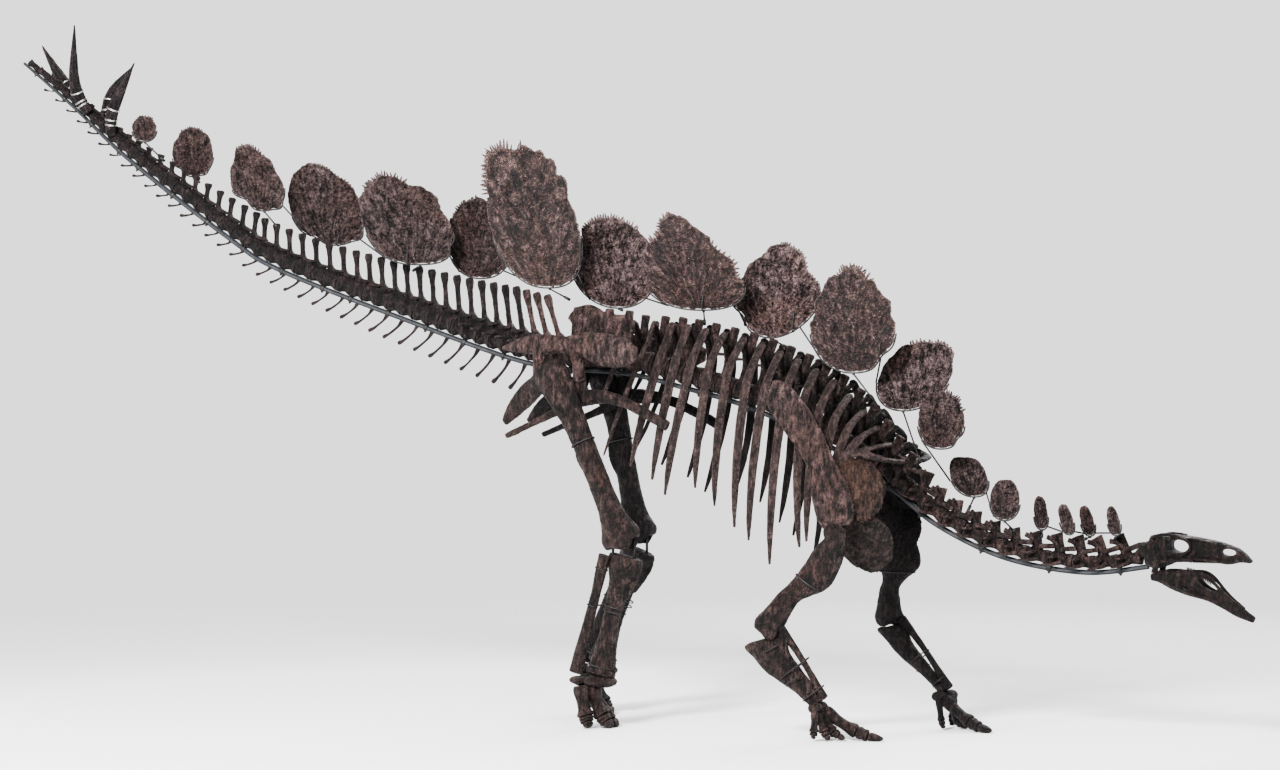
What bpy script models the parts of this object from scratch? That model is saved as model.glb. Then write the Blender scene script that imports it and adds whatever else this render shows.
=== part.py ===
"""Mounted stegosaurus skeleton at life size, standing on its own four feet.

Lengths are in metres, +Z is up, +X points to the head and -Y is the animal's right side.
A steel rod runs below the backbone from the tail to the skull. Every bone, plate and wire
is worked out from that rod and from the joints of the limbs.
"""
import math
import random

import bmesh
import bpy
from mathutils import Matrix, Vector

# Gap between touching pieces, and how far a joined piece is sunk into the next
GAP = 0.0003
SINK = 0.004

# The rod below the backbone, from the tail tip to the skull: x and z in the mid plane
ROD_ROUTE = [
    (-2.800, 2.815), (-2.540, 2.614), (-2.240, 2.366), (-1.730, 2.014), (-1.480, 1.875),
    (-0.890, 1.665), (-0.280, 1.471), (0.160, 1.428), (0.420, 1.371), (0.710, 1.292),
    (1.020, 1.160), (1.330, 0.969), (1.520, 0.829), (1.800, 0.707), (2.120, 0.658), (2.375, 0.686),
]
ROD_RADIUS = 0.0105
ROD_TIP_RADIUS = 0.006
CHEVRONS = 36
CHEVRONS_X = (-2.640, -0.300)
TAIL_WINGS_X = -0.600
# Chevrons against the share of the way along: drop below the rod, and reach back
CHEVRON_DROPS = [(0.0, 0.024), (0.5, 0.050), (0.77, 0.094), (1.0, 0.112)]
CHEVRON_REACH = [(0.0, 0.046), (0.5, 0.054), (0.77, 0.066), (1.0, 0.050)]
COS_30 = math.cos(math.radians(30.0))
FLAT = math.radians(0.05)
MERGE = 0.00008

# Numbers of bones in the tail tip, tail middle, tail base, sacrum, trunk and neck, and where each ends
REGION_BONES = (12, 17, 17, 4, 17, 11)
REGION_ENDS_X = (-2.200, -1.130, -0.085, 0.195, 1.375, 2.352)

# Height from the rod to the tops of the spines, against x
SPINE_TOPS = [
    (-2.80, 0.030), (-2.35, 0.080), (-2.20, 0.100), (-2.00, 0.128), (-1.60, 0.173), (-1.25, 0.193),
    (-0.90, 0.221), (-0.60, 0.257), (-0.30, 0.298), (-0.10, 0.300), (0.24, 0.250), (0.43, 0.285),
    (0.75, 0.295), (0.91, 0.295), (1.02, 0.285), (1.13, 0.258), (1.20, 0.230), (1.30, 0.190),
    (1.40, 0.150), (1.50, 0.133), (1.60, 0.127), (1.80, 0.118), (2.05, 0.140), (2.30, 0.135), (2.36, 0.120),
]
# Radius of the centra, against x
CENTRUM_RADII = [
    (-2.80, 0.011), (-2.50, 0.022), (-2.35, 0.029), (-1.70, 0.033), (-1.10, 0.038), (-0.40, 0.048),
    (0.00, 0.052), (0.60, 0.042), (1.20, 0.038), (1.50, 0.033), (2.00, 0.029), (2.37, 0.026),
]

# Tips of the ribs, hindmost first: x and z
RIB_TIPS = [
    (0.118, 1.315), (0.132, 1.094), (0.258, 1.051), (0.365, 1.000), (0.432, 0.940), (0.572, 0.970),
    (0.664, 0.900), (0.750, 0.818), (0.811, 0.767), (0.901, 0.674), (1.028, 0.744), (1.058, 0.768),
    (1.105, 0.850), (1.145, 0.930), (1.170, 1.010), (1.190, 1.086), (1.262, 1.130),
]
RIB_HEAD_DROP = 0.104
RIB_SPINE_LEAN = 0.010
# Distance of the ribs from the mid plane at their widest, against the number of the rib
RIB_SIDES = [(0, 0.150), (2, 0.180), (4, 0.235), (6, 0.275)]
RIB_TIP_SHARE = 0.84

# Plates from the tail to the neck. Near ones stand on the right, far ones on the left.
# x, z: middle of the widest level; half width; rise; drop; lean; fullness above and below;
# depth of the teeth; corners round a whole turn at the spacing of the toothed half
PLATES = [
    (-2.125, 2.500, 0.062, 0.058, 0.056, 0.00, 2.2, 2.2, 0.010, 14),
    (-1.960, 2.395, 0.104, 0.118, 0.100, -0.10, 2.1, 2.2, 0.010, 18),
    (-1.552, 2.245, 0.130, 0.172, 0.115, -0.28, 1.8, 2.2, 0.012, 20),
    (-1.293, 2.140, 0.178, 0.200, 0.158, -0.36, 2.0, 2.2, 0.008, 22),
    (-0.822, 2.070, 0.208, 0.208, 0.182, -0.34, 2.1, 2.7, 0.020, 28),
    (-0.550, 1.990, 0.150, 0.185, 0.160, -0.14, 2.1, 2.3, 0.016, 24),
    (-0.220, 2.060, 0.204, 0.325, 0.277, -0.24, 3.0, 2.4, 0.028, 36),
    (0.073, 1.880, 0.194, 0.210, 0.180, -0.20, 2.0, 2.1, 0.020, 28),
    (0.500, 1.800, 0.218, 0.285, 0.115, -0.35, 1.5, 2.3, 0.024, 32),
    (0.803, 1.745, 0.194, 0.215, 0.172, 0.10, 1.6, 1.8, 0.016, 26),
    (1.192, 1.625, 0.182, 0.237, 0.194, 0.02, 1.65, 2.2, 0.020, 28),
    (1.400, 1.415, 0.152, 0.150, 0.134, 0.34, 2.4, 2.1, 0.014, 22),
    (1.560, 1.245, 0.096, 0.118, 0.112, 0.05, 2.4, 2.3, 0.012, 18),
    (1.625, 1.022, 0.076, 0.078, 0.078, -0.32, 2.6, 2.3, 0.004, 12),
    (1.820, 0.936, 0.060, 0.080, 0.078, 0.05, 2.2, 2.2, 0.003, 12),
    (1.922, 0.884, 0.027, 0.064, 0.064, -0.12, 2.3, 2.6, 0.002, 10),
    (2.066, 0.866, 0.027, 0.058, 0.058, -0.20, 2.3, 2.4, 0.002, 10),
    (2.110, 0.855, 0.027, 0.057, 0.056, -0.26, 2.3, 2.4, 0.002, 10),
    (2.255, 0.862, 0.024, 0.056, 0.054, -0.16, 2.3, 2.4, 0.002, 10),
]
# Where an outline leaves its oval: plate, angle from its front end over the top and half length of
# the stretch in degrees, and the share cut off in its middle, or added where it is below zero
PLATE_CUTS = [
    (1, 232, 30, 0.16), (1, 302, 18, -0.07), (2, 138, 24, 0.11), (2, 226, 32, 0.22), (2, 304, 18, -0.09),
    (3, 56, 30, 0.09), (3, 238, 26, 0.11), (3, 312, 18, -0.09), (4, 62, 28, 0.16), (4, 325, 18, 0.07),
    (6, 148, 26, 0.05), (6, 70, 24, 0.06), (6, 14, 18, -0.06), (7, 148, 24, 0.10), (8, 22, 20, -0.09),
    (8, 124, 20, 0.07), (9, 34, 22, 0.11), (9, 216, 26, 0.13), (10, 48, 24, 0.07), (10, 314, 24, 0.10),
    (12, 316, 24, 0.10),
]
PLATE_BASE_SIDE = 0.058
PLATE_SPLAY = 0.10
PLATE_RIM = 0.0030
PLATE_THIN = 0.0040
PLATE_BODY = 0.0100
PLATE_RING = 0.62
PLATE_CORE_FROM = 0.070
PLATE_SEED = 411

# Thin steel rods that carry the plates
WIRE_RADIUS = 0.0032
WIRE_JOIN = 0.0034
LINK_FROM = 0.75
LINK_TO = 0.25
# Plates reached at the rear end of their cradle, and where the wire leaves the plate behind
REAR_LINKED = {11: 0.75, 13: 0.20}

# Runs of wire: name, first plate, plate after the last, and stalks as (plate, x of the bone below)
WIRE_RUNS = [
    ("plate_wires_tail_tip", 0, 1, [(0, -2.130)]),
    ("plate_wires_tail", 1, 2, [(1, -1.965)]),
    ("plate_wires_back", 2, 15, [(2, -1.560), (4, -0.900), (6, -0.120), (7, 0.120), (8, 0.450), (9, 0.780),
                                 (10, 1.180), (11, 1.350), (13, 1.590), (14, 1.810)]),
    ("plate_wires_neck", 15, 19, [(15, 1.925), (17, 2.110), (18, 2.255)]),
]
# Short wires up the faces of plates: plate, share of the way along its cradle, height
PRONGS = [
    (3, 0.55, 0.045), (4, 0.45, 0.080), (6, 0.85, 0.100), (8, 0.50, 0.060), (9, 0.25, 0.065),
    (9, 0.70, 0.080), (10, 0.75, 0.060), (11, 0.80, 0.070),
]

# Height of the middle of a hoof on the floor
FLOOR_HEIGHT = 0.011
DIGIT_BEND = 1.8

# Joints of the limbs: x, distance from the mid plane, z
HIP = (-0.030, 0.250, 1.425)
KNEE_RIGHT = (0.280, 0.255, 0.735)
ANKLE_RIGHT = (0.152, 0.255, 0.200)
KNEE_LEFT = (0.110, 0.250, 0.735)
ANKLE_LEFT = (-0.085, 0.250, 0.200)
SHOULDER = (1.215, 0.300, 0.810)
ELBOW_RIGHT = (0.945, 0.362, 0.410)
WRIST_RIGHT = (1.148, 0.330, 0.145)
ELBOW_LEFT = (1.204, 0.325, 0.420)
WRIST_LEFT = (1.440, 0.300, 0.150)

RIGHT = -1.0
LEFT = 1.0
AXIS_X = Vector((1.0, 0.0, 0.0))
AXIS_Y = Vector((0.0, 1.0, 0.0))
AXIS_Z = Vector((0.0, 0.0, 1.0))
# Pose of each side: its word, knee, ankle, elbow and wrist, the inward turn of the hand,
# and how deep the crest of the upper arm and the wedge of the ulna look from the side
POSES = {RIGHT: ("right", KNEE_RIGHT, ANKLE_RIGHT, ELBOW_RIGHT, WRIST_RIGHT, 0.10, 1.0, 1.0),
         LEFT: ("left", KNEE_LEFT, ANKLE_LEFT, ELBOW_LEFT, WRIST_LEFT, 0.30, 1.3, 0.62)}


def clear_scene():
    """Remove every object that the scene starts with."""
    for item in list(bpy.data.objects):
        bpy.data.objects.remove(item)


def finish(name, colour, roughness, metallic=0.0):
    """A plain surface of one colour."""
    material = bpy.data.materials.new(name)
    material.use_nodes = True
    shader = material.node_tree.nodes["Principled BSDF"]
    shader.inputs["Base Color"].default_value = (*colour, 1.0)
    shader.inputs["Roughness"].default_value = roughness
    shader.inputs["Metallic"].default_value = metallic
    return material


def between(table, place):
    """Value at a place along a table of (place, value) rows."""
    if place <= table[0][0]:
        return table[0][1]
    for (a, low), (b, high) in zip(table, table[1:]):
        if place <= b:
            return low + (high - low) * (place - a) / (b - a)
    return table[-1][1]


def spline(rows, steps):
    """Rows of numbers read at even steps from a smooth curve through the given rows."""
    last = len(rows) - 1
    out = []
    for step in range(steps + 1):
        place = last * step / steps
        index = min(int(place), last - 1)
        t = place - index
        before, start = rows[max(index - 1, 0)], rows[index]
        end, after = rows[index + 1], rows[min(index + 2, last)]
        row = []
        for a, b, c, d in zip(before, start, end, after):
            row.append(0.5 * (2 * b + (c - a) * t + (2 * a - 5 * b + 4 * c - d) * t * t
                              + (3 * b - a - 3 * c + d) * t ** 3))
        out.append(tuple(row))
    return out


def ring(centre, tangent, across, half_across, half_other, sides, turned):
    """Corners of one oval section; turned rings have a flat on top and below."""
    side = (across - tangent * across.dot(tangent)).normalized()
    other = tangent.cross(side)
    grow = 1.0 / math.cos(math.pi / sides)
    corners = []
    for corner in range(sides):
        angle = 2.0 * math.pi * (corner + (0.0 if turned else 0.5)) / sides
        corners.append(centre + side * (half_across * grow * math.cos(angle))
                       + other * (half_other * grow * math.sin(angle)))
    return corners


def tangents(points):
    """Direction of travel at each point of a path."""
    out = []
    for index in range(len(points)):
        ahead = points[min(index + 1, len(points) - 1)]
        behind = points[max(index - 1, 0)]
        out.append((ahead - behind).normalized())
    return out


def skin(rings):
    """Closed skin over rings of the same number of corners."""
    sides = len(rings[0])
    faces = [tuple(reversed(range(sides)))]
    for start in range(0, (len(rings) - 1) * sides, sides):
        for corner in range(sides):
            a = start + corner
            b = start + (corner + 1) % sides
            faces.append((a, b, b + sides, a + sides))
    last = (len(rings) - 1) * sides
    faces.append(tuple(range(last, last + sides)))
    return [corner for corners in rings for corner in corners], faces


def loft(rows, sides=6, across=AXIS_Y, turned=False):
    """Closed skin over ovals: rows of x, y, z, half width across, half width the other way."""
    points = [Vector(row[:3]) for row in rows]
    rings = [ring(point, tangent, across, row[3], row[4], sides, turned)
             for point, tangent, row in zip(points, tangents(points), rows)]
    return skin(rings)


def half_loft(rows, side, flare=0.62):
    """One side of a loft in the mid plane: rows of x, z, half width across, half width the other way."""
    points = [Vector((row[0], 0.0, row[1])) for row in rows]
    rings = []
    for point, tangent, row in zip(points, tangents(points), rows):
        other = tangent.cross(AXIS_Y)
        outer = AXIS_Y * (side * row[2])
        inner = AXIS_Y * (side * GAP / 2.0)
        rings.append([point + inner - other * row[3], point + outer - other * (row[3] * flare),
                      point + outer + other * (row[3] * flare), point + inner + other * row[3]])
    return skin(rings)


def bone(rows, steps=None, sides=6, across=AXIS_Y):
    """A loft through smoothed rows."""
    return loft(spline(rows, steps or 2 * (len(rows) - 1)), sides, across)


def tube(points, radius, sides=4):
    """A round bar along a list of points."""
    return loft([(*point, radius, radius) for point in points], sides)


def block(low, high):
    """An upright box between two corners."""
    (ax, ay, az), (bx, by, bz) = low, high
    verts = [Vector((x, y, z)) for z in (az, bz) for x, y in ((ax, ay), (bx, ay), (bx, by), (ax, by))]
    faces = [(3, 2, 1, 0), (4, 5, 6, 7), (0, 1, 5, 4), (1, 2, 6, 5), (2, 3, 7, 6), (3, 0, 4, 7)]
    return verts, faces


def prism(outline, side, inner, outer):
    """A flat piece along the side of the head: an outline of x, z between two distances."""
    count = len(outline)
    verts = [Vector((x, side * inner, z)) for x, z in outline]
    verts += [Vector((x, side * outer, z)) for x, z in outline]
    faces = [tuple(range(count)), tuple(reversed(range(count, 2 * count)))]
    faces += [(k, (k + 1) % count, count + (k + 1) % count, count + k) for k in range(count)]
    return verts, faces


def lens(outline, core, rim, body, place):
    """A thin plate, thick in the middle: an outline and, on both faces, a core of half as many corners."""
    count = len(outline)
    inner = len(core)
    middle = (sum(s for s, _ in outline) / count, sum(t for _, t in outline) / count)
    verts = []
    for sign in (-1.0, 1.0):
        verts += [place(s, t, sign * rim) for s, t in outline]
        verts += [place(s, t, sign * body) for s, t in core]
        verts.append(place(*middle, sign * body * 1.15))
    half = count + inner + 1
    faces = []
    for k in range(count):
        n = (k + 1) % count
        faces.append((n, k, half + k, half + n))
        if inner:
            near = count + ((k + 1) // 2) % inner
            faces.append((k, n, near))
            faces.append((half + near, half + n, half + k))
        else:
            faces.append((k, n, count))
            faces.append((half + count, half + n, half + k))
    for j in range(inner):
        a, b, c = count + j, count + (j + 1) % inner, count + inner
        faces += [(2 * j + 1, b, a), (a, b, c)]
        faces += [(half + a, half + b, half + 2 * j + 1), (half + c, half + b, half + a)]
    return verts, faces


def mesh_of(shape, grow=0.0):
    """A mesh whose faces point out, with its skin moved out by grow."""
    verts, faces = shape
    mesh = bpy.data.meshes.new("shape")
    mesh.from_pydata(verts, [], faces)
    work = bmesh.new()
    work.from_mesh(mesh)
    bmesh.ops.recalc_face_normals(work, faces=work.faces)
    if work.calc_volume(signed=True) < 0.0:
        bmesh.ops.reverse_faces(work, faces=work.faces)
    work.normal_update()
    if grow:
        moves = [(vert, vert.normal * (vert.calc_shell_factor() * grow)) for vert in work.verts]
        for vert, move in moves:
            vert.co += move
    bmesh.ops.triangulate(work, faces=work.faces)
    work.to_mesh(mesh)
    work.free()
    return mesh


def combine(target, shapes, operation, grow=0.0):
    """Join closed shapes to an object, or cut them from it, and apply the result."""
    group = bpy.data.collections.new("group")
    bpy.context.scene.collection.children.link(group)
    for shape in shapes:
        item = bpy.data.objects.new("item", mesh_of(shape, grow))
        item.hide_render = True
        item.display_type = "WIRE"
        group.objects.link(item)
    modifier = target.modifiers.new(operation, "BOOLEAN")
    modifier.operand_type = "COLLECTION"
    modifier.collection = group
    modifier.operation = operation
    modifier.solver = "MANIFOLD"
    view = bpy.context.evaluated_depsgraph_get()
    result = bpy.data.meshes.new_from_object(target.evaluated_get(view))
    target.modifiers.clear()
    target.data = result
    for item in list(group.objects):
        bpy.data.objects.remove(item)
    bpy.data.collections.remove(group)


def keep_largest(mesh):
    """Leave only the closed surface that holds the most volume, without needless corners on flats."""
    work = bmesh.new()
    work.from_mesh(mesh)
    bmesh.ops.triangulate(work, faces=work.faces)
    left = set(work.faces)
    bodies = []
    while left:
        body = set()
        front = [left.pop()]
        while front:
            face = front.pop()
            body.add(face)
            for edge in face.edges:
                for other in edge.link_faces:
                    if other in left:
                        left.remove(other)
                        front.append(other)
        volume = 0.0
        for face in body:
            a, b, c = (vert.co for vert in face.verts)
            volume += a.dot(b.cross(c)) / 6.0
        bodies.append((volume, body))
    best = max(bodies, key=lambda entry: entry[0])[1]
    bmesh.ops.delete(work, geom=[face for face in work.faces if face not in best], context="FACES")
    work.to_mesh(mesh)
    work.free()
    for distance in (MERGE, MERGE / 10.0, 0.0):
        if thin_out(mesh, distance):
            break


def thin_out(mesh, distance):
    """Merge close corners and flatten flat stretches, and tell whether the surface stayed closed."""
    work = bmesh.new()
    work.from_mesh(mesh)
    if distance:
        bmesh.ops.remove_doubles(work, verts=work.verts, dist=distance)
    bmesh.ops.dissolve_limit(work, angle_limit=FLAT, use_dissolve_boundaries=False,
                             verts=work.verts, edges=work.edges, delimit=set())
    bmesh.ops.triangulate(work, faces=work.faces)
    closed = all(len(edge.link_faces) == 2 for edge in work.edges)
    if closed:
        work.to_mesh(mesh)
    work.free()
    return closed


def node(name, shapes, material, joined_to=(), cuts=()):
    """One closed body of joined shapes, cut clear of the shapes that it meets."""
    item = bpy.data.objects.new(name, mesh_of(shapes[0]))
    bpy.context.scene.collection.objects.link(item)
    if len(shapes) > 1:
        combine(item, shapes[1:], "UNION")
    if joined_to:
        combine(item, joined_to, "DIFFERENCE", GAP)
    if cuts:
        combine(item, cuts, "DIFFERENCE")
    keep_largest(item.data)
    item.data.shade_smooth()
    item.data.set_sharp_from_angle(angle=math.radians(38.0))
    item.data.materials.clear()
    item.data.materials.append(material)
    return item


class Backbone:
    """The curve of the rod, with places along it measured by length."""

    def __init__(self, route):
        self.points = [Vector((x, 0.0, z)) for x, z in spline(route, 40 * (len(route) - 1))]
        self.headings = tangents(self.points)
        self.lengths = [0.0]
        for a, b in zip(self.points, self.points[1:]):
            self.lengths.append(self.lengths[-1] + (b - a).length)

    def at(self, length):
        """Point and forward direction at a length from the tail tip."""
        last = len(self.points) - 2
        index = 0
        while index < last and self.lengths[index + 1] < length:
            index += 1
        a, b = self.points[index], self.points[index + 1]
        share = (length - self.lengths[index]) / (self.lengths[index + 1] - self.lengths[index])
        heading = self.headings[index].lerp(self.headings[index + 1], share)
        return a.lerp(b, share), heading.normalized()

    def at_x(self, x):
        """Length from the tail tip at a place along x."""
        for point, length in zip(self.points, self.lengths):
            if point.x >= x:
                return length
        return self.lengths[-1]

    def frame(self, length):
        """Point, forward direction and upward direction at a length from the tail tip."""
        point, forward = self.at(length)
        return point, forward, Vector((-forward.z, 0.0, forward.x))


BACK = Backbone(ROD_ROUTE)


def rod_radius(length):
    """The rod tapers towards the tail tip."""
    share = min(length / 0.9, 1.0)
    return ROD_TIP_RADIUS + (ROD_RADIUS - ROD_TIP_RADIUS) * share


def rod_shape(stops):
    """The steel rod below the backbone, with a ring at the end of each vertebra."""
    rows = []
    for length in [0.0] + stops + [BACK.lengths[-1]]:
        point, _ = BACK.at(length)
        rows.append((*point, rod_radius(length), rod_radius(length)))
    return loft(rows, 6, AXIS_Y, True)


def centra_rows(stops, waist):
    """Rings of a row of spools that stand on the rod: length, centre height, half width, half height."""
    rows = []
    for index, length in enumerate(stops):
        x = BACK.at(length)[0].x
        radius = between(CENTRUM_RADII, x)
        length += (GAP / 2.0) * ((index == 0) - (index == len(stops) - 1))
        rows.append((length, rod_radius(length) + GAP + radius, radius, radius))
        if waist < 1.0 and index < len(stops) - 1:
            middle = (length + stops[index + 1]) / 2.0
            deep = radius * (0.4 + 0.6 * waist)
            rows.append((middle, rod_radius(middle) + radius * 1.05, radius * waist, deep))
    return rows


def centra(stops, waist):
    """The spools of a stretch of the backbone, as one row."""
    rings = []
    for length, height, across, other in centra_rows(stops, waist):
        point, forward, up = BACK.frame(length)
        rings.append(ring(point + up * height, forward, AXIS_Y, across * COS_30, other, 6, True))
    return skin(rings)


def half_centra(stops, side, waist=0.72):
    """The spools on one side of the mid plane."""
    rings = []
    for length, height, across, other in centra_rows(stops, waist):
        point, _, up = BACK.frame(length)
        centre = point + up * height
        outer = AXIS_Y * (side * across)
        inner = AXIS_Y * (side * GAP / 2.0)
        rings.append([centre + inner - up * other, centre + outer - up * (other * 0.55),
                      centre + outer + up * (other * 0.55), centre + inner + up * other])
    return skin(rings)


def along(length, side, height, forward_by):
    """A place by the backbone: length, distance from the mid plane, height, step forward."""
    point, forward, up = BACK.frame(length)
    return point + up * height + forward * forward_by + AXIS_Y * side


def spine(place, low, high, lean, wide, deep, flare=1.5):
    """A blade on top of a vertebra, leaning back towards the tail.

    Place is its length along the rod and its step back; wide and deep give the root and the middle.
    """
    length, back = place
    rows = []
    for share, across, fore in ((0.0, wide[0], deep * 1.4), (0.45, wide[1], deep * 0.9),
                                (1.0, wide[1] * flare, deep * flare)):
        height = low + (high - low) * share
        rows.append((*along(length, 0.0, height, -back - lean * share), across, fore))
    return loft(rows, 4)


def bar(length, inner, outer, thick):
    """A cross bar through a vertebra: inner is (height, forward), outer (reach, height, forward)."""
    reach, height, forward = outer
    rows = []
    for side in (RIGHT, 0.0, LEFT):
        place = along(length, side * reach, height, forward) if side else along(length, 0.0, *inner)
        shrink = 0.75 if side else 1.0
        rows.append((*place, thick[0] * shrink, thick[1] * shrink))
    return loft(rows, 4, AXIS_X)


def spread(start, end, count):
    """Ends of count equal stretches between two lengths."""
    return [start + (end - start) * step / count for step in range(count + 1)]


def tail_shapes(stops, waist=0.76):
    """Vertebrae of one stretch of the tail."""
    shapes = [centra(stops, waist)]
    for start, end in zip(stops, stops[1:]):
        middle = (start + end) / 2.0
        x = BACK.at(middle)[0].x
        radius = between(CENTRUM_RADII, x)
        top = between(SPINE_TOPS, x)
        low = rod_radius(middle) + 2.0 * radius - 3.0 * SINK
        quarter = (end - start) / 4.0 if waist < 1.0 else 0.0
        if top > low + 0.02:
            wide = (min(0.0105, 0.40 * radius * waist), 0.0065)
            shapes.append(spine((middle, quarter), low, top, 0.42 * (top - low), wide, 0.0105))
        if x > TAIL_WINGS_X:
            reach = 0.055 + 0.040 * between([(TAIL_WINGS_X, 0.0), (-0.1, 1.0)], x)
            height = rod_radius(middle) + radius * 1.38
            shapes.append(bar(middle, (height, -quarter), (radius + reach, height + 0.004, -quarter - 0.012),
                              (0.009, 0.007)))
    return shapes


def chevron(length, drop, back, thick):
    """A small bone hanging below the rod, pointing back and down."""
    radius = rod_radius(length)
    a = along(length, 0.0, -0.5 * radius, 0.0)
    b = along(length, 0.0, -radius - drop, -back)
    return loft([(*a, 0.42 * radius, thick), (*b, 0.42 * radius, thick * 0.7)], 4)


def chevron_shapes():
    """Chevrons along the rod, long and steep near the hips, short and flat near the tail tip."""
    shapes = []
    start = BACK.at_x(CHEVRONS_X[0])
    end = BACK.at_x(CHEVRONS_X[1])
    for index in range(CHEVRONS):
        share = index / (CHEVRONS - 1)
        shapes.append(chevron(start + (end - start) * share, between(CHEVRON_DROPS, share),
                              between(CHEVRON_REACH, share), 0.0050 + 0.0025 * share))
    return shapes


def dorsal_shapes(stops, side):
    """One side of the vertebrae of the trunk, with tall narrow blades."""
    shapes = [half_centra(stops, side)]
    for start, end in zip(stops, stops[1:]):
        middle = (start + end) / 2.0
        back = (end - start) / 4.0
        x = BACK.at(middle)[0].x
        low = rod_radius(middle) + 1.6 * between(CENTRUM_RADII, x)
        top = between(SPINE_TOPS, x)
        rows = []
        for share, wide, deep in ((0.0, 0.018, 0.0165), (0.66, 0.012, 0.021), (1.0, 0.010, 0.018)):
            point = along(middle, 0.0, low + (top - low) * share, -back - RIB_SPINE_LEAN * share)
            rows.append((point.x, point.z, wide, deep))
        shapes.append(half_loft(rows, side, 0.9))
    return shapes


def rib_rows(length, back, side, index):
    """Centre line and widths of one rib, from the arch of its vertebra down to its tip."""
    top = between(SPINE_TOPS, BACK.at(length)[0].x)
    tip_x, tip_z = RIB_TIPS[index]
    head = along(length, side * 0.0105, top - RIB_HEAD_DROP, -back - RIB_SPINE_LEAN * 0.5)
    knee = along(length, side * 0.115, top - 0.036, -back - RIB_SPINE_LEAN * 0.5)
    drop = knee.z - tip_z
    sweep = knee.x - tip_x
    wide = between(RIB_SIDES, index)
    thin = 0.55 if index < 2 else 1.0
    return [
        (head.x, head.y, head.z, 0.013 * thin, 0.009),
        (knee.x, knee.y, knee.z, 0.014 * thin, 0.009),
        (knee.x - sweep * 0.18, side * wide * 0.90, knee.z - drop * 0.24, 0.017 * thin, 0.008),
        (knee.x - sweep * 0.50, side * wide, knee.z - drop * 0.56, 0.016 * thin, 0.008),
        (tip_x, side * wide * RIB_TIP_SHARE, tip_z, 0.008 * thin, 0.005),
    ]


def rib_shapes(stops, side):
    """All the ribs of one side."""
    shapes = []
    for index in range(len(RIB_TIPS)):
        start, end = stops[index], stops[index + 1]
        rows = rib_rows((start + end) / 2.0, (end - start) / 4.0, side, index)
        shapes.append(bone(rows, 5, 4, AXIS_X))
    return shapes


def neck_shapes(stops):
    """Vertebrae of the neck with their short side processes."""
    shapes = [centra(stops, 0.70)]
    for start, end in zip(stops, stops[1:]):
        middle = (start + end) / 2.0
        x = BACK.at(middle)[0].x
        radius = between(CENTRUM_RADII, x)
        top = between(SPINE_TOPS, x)
        low = rod_radius(middle) + 1.55 * radius
        quarter = (end - start) / 4.0
        shapes.append(spine((middle, quarter), low, top, 0.004, (0.40 * radius * 0.70, 0.0085), 0.0175, 1.10))
        height = rod_radius(middle) + radius * 1.30
        tip = (0.056, height + 0.002, -quarter - 0.012)
        shapes.append(bar(middle, (height, -quarter), tip, (0.012, 0.006)))
    return shapes


def sacrum_shapes(stops):
    """Fused vertebrae of the hips with the upright bone plate and the bars to the ilia."""
    shapes = [centra(stops, 0.88)]
    for low, high in zip(stops, stops[1:]):
        middle = (low + high) / 2.0
        quarter = (high - low) / 4.0
        shapes.append(bar(middle, (0.076, -quarter), (0.225, 0.106, -quarter), (0.014, 0.017)))
    crest = [(-0.034, 0.0, 1.590, 0.010, 0.088), (-0.010, 0.0, 1.607, 0.010, 0.107),
             (0.045, 0.0, 1.594, 0.010, 0.093), (0.178, 0.0, 1.584, 0.009, 0.085)]
    shapes.append(loft(crest, 4))
    return shapes


def ilium_shape(side):
    """The long blade of the hip, flared outwards in front."""
    rows = [(-0.300, 0.190, 1.532, 0.016, 0.010), (-0.200, 0.212, 1.540, 0.028, 0.034),
            (-0.090, 0.232, 1.545, 0.034, 0.042), (0.005, 0.246, 1.545, 0.034, 0.037),
            (0.100, 0.263, 1.540, 0.038, 0.050), (0.205, 0.288, 1.522, 0.040, 0.064),
            (0.305, 0.319, 1.510, 0.034, 0.056), (0.372, 0.340, 1.508, 0.020, 0.024)]
    return bone([(x, side * y, z, a, b) for x, y, z, a, b in rows], 8, 6)


def ilium_shapes(side):
    """The ilium with the two short legs that hold the socket of the thigh."""
    front = bone([(0.060, side * 0.245, 1.530, 0.030, 0.034), (0.064, side * 0.235, 1.455, 0.026, 0.026),
                  (0.066, side * 0.225, 1.395, 0.024, 0.028)], 2, 6)
    rear = bone([(-0.110, side * 0.225, 1.530, 0.028, 0.034), (-0.122, side * 0.218, 1.460, 0.024, 0.026),
                 (-0.124, side * 0.212, 1.420, 0.022, 0.028)], 2, 6)
    return [ilium_shape(side), front, rear]


def pubis_shapes(side):
    """The pubis: a long rod back below the thigh and a shorter one forward."""
    rows = [(-0.300, 0.165, 1.170, 0.012, 0.012), (-0.060, 0.195, 1.268, 0.014, 0.017),
            (0.060, 0.208, 1.322, 0.020, 0.034), (0.180, 0.225, 1.331, 0.015, 0.028),
            (0.300, 0.240, 1.299, 0.013, 0.022), (0.472, 0.255, 1.214, 0.014, 0.022)]
    socket = loft([(0.064, side * 0.208, 1.322, 0.018, 0.030),
                   (0.066, side * 0.220, 1.400, 0.022, 0.026)], 6)
    return [bone([(x, side * y, z, a, b) for x, y, z, a, b in rows], 7, 6), socket]


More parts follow.
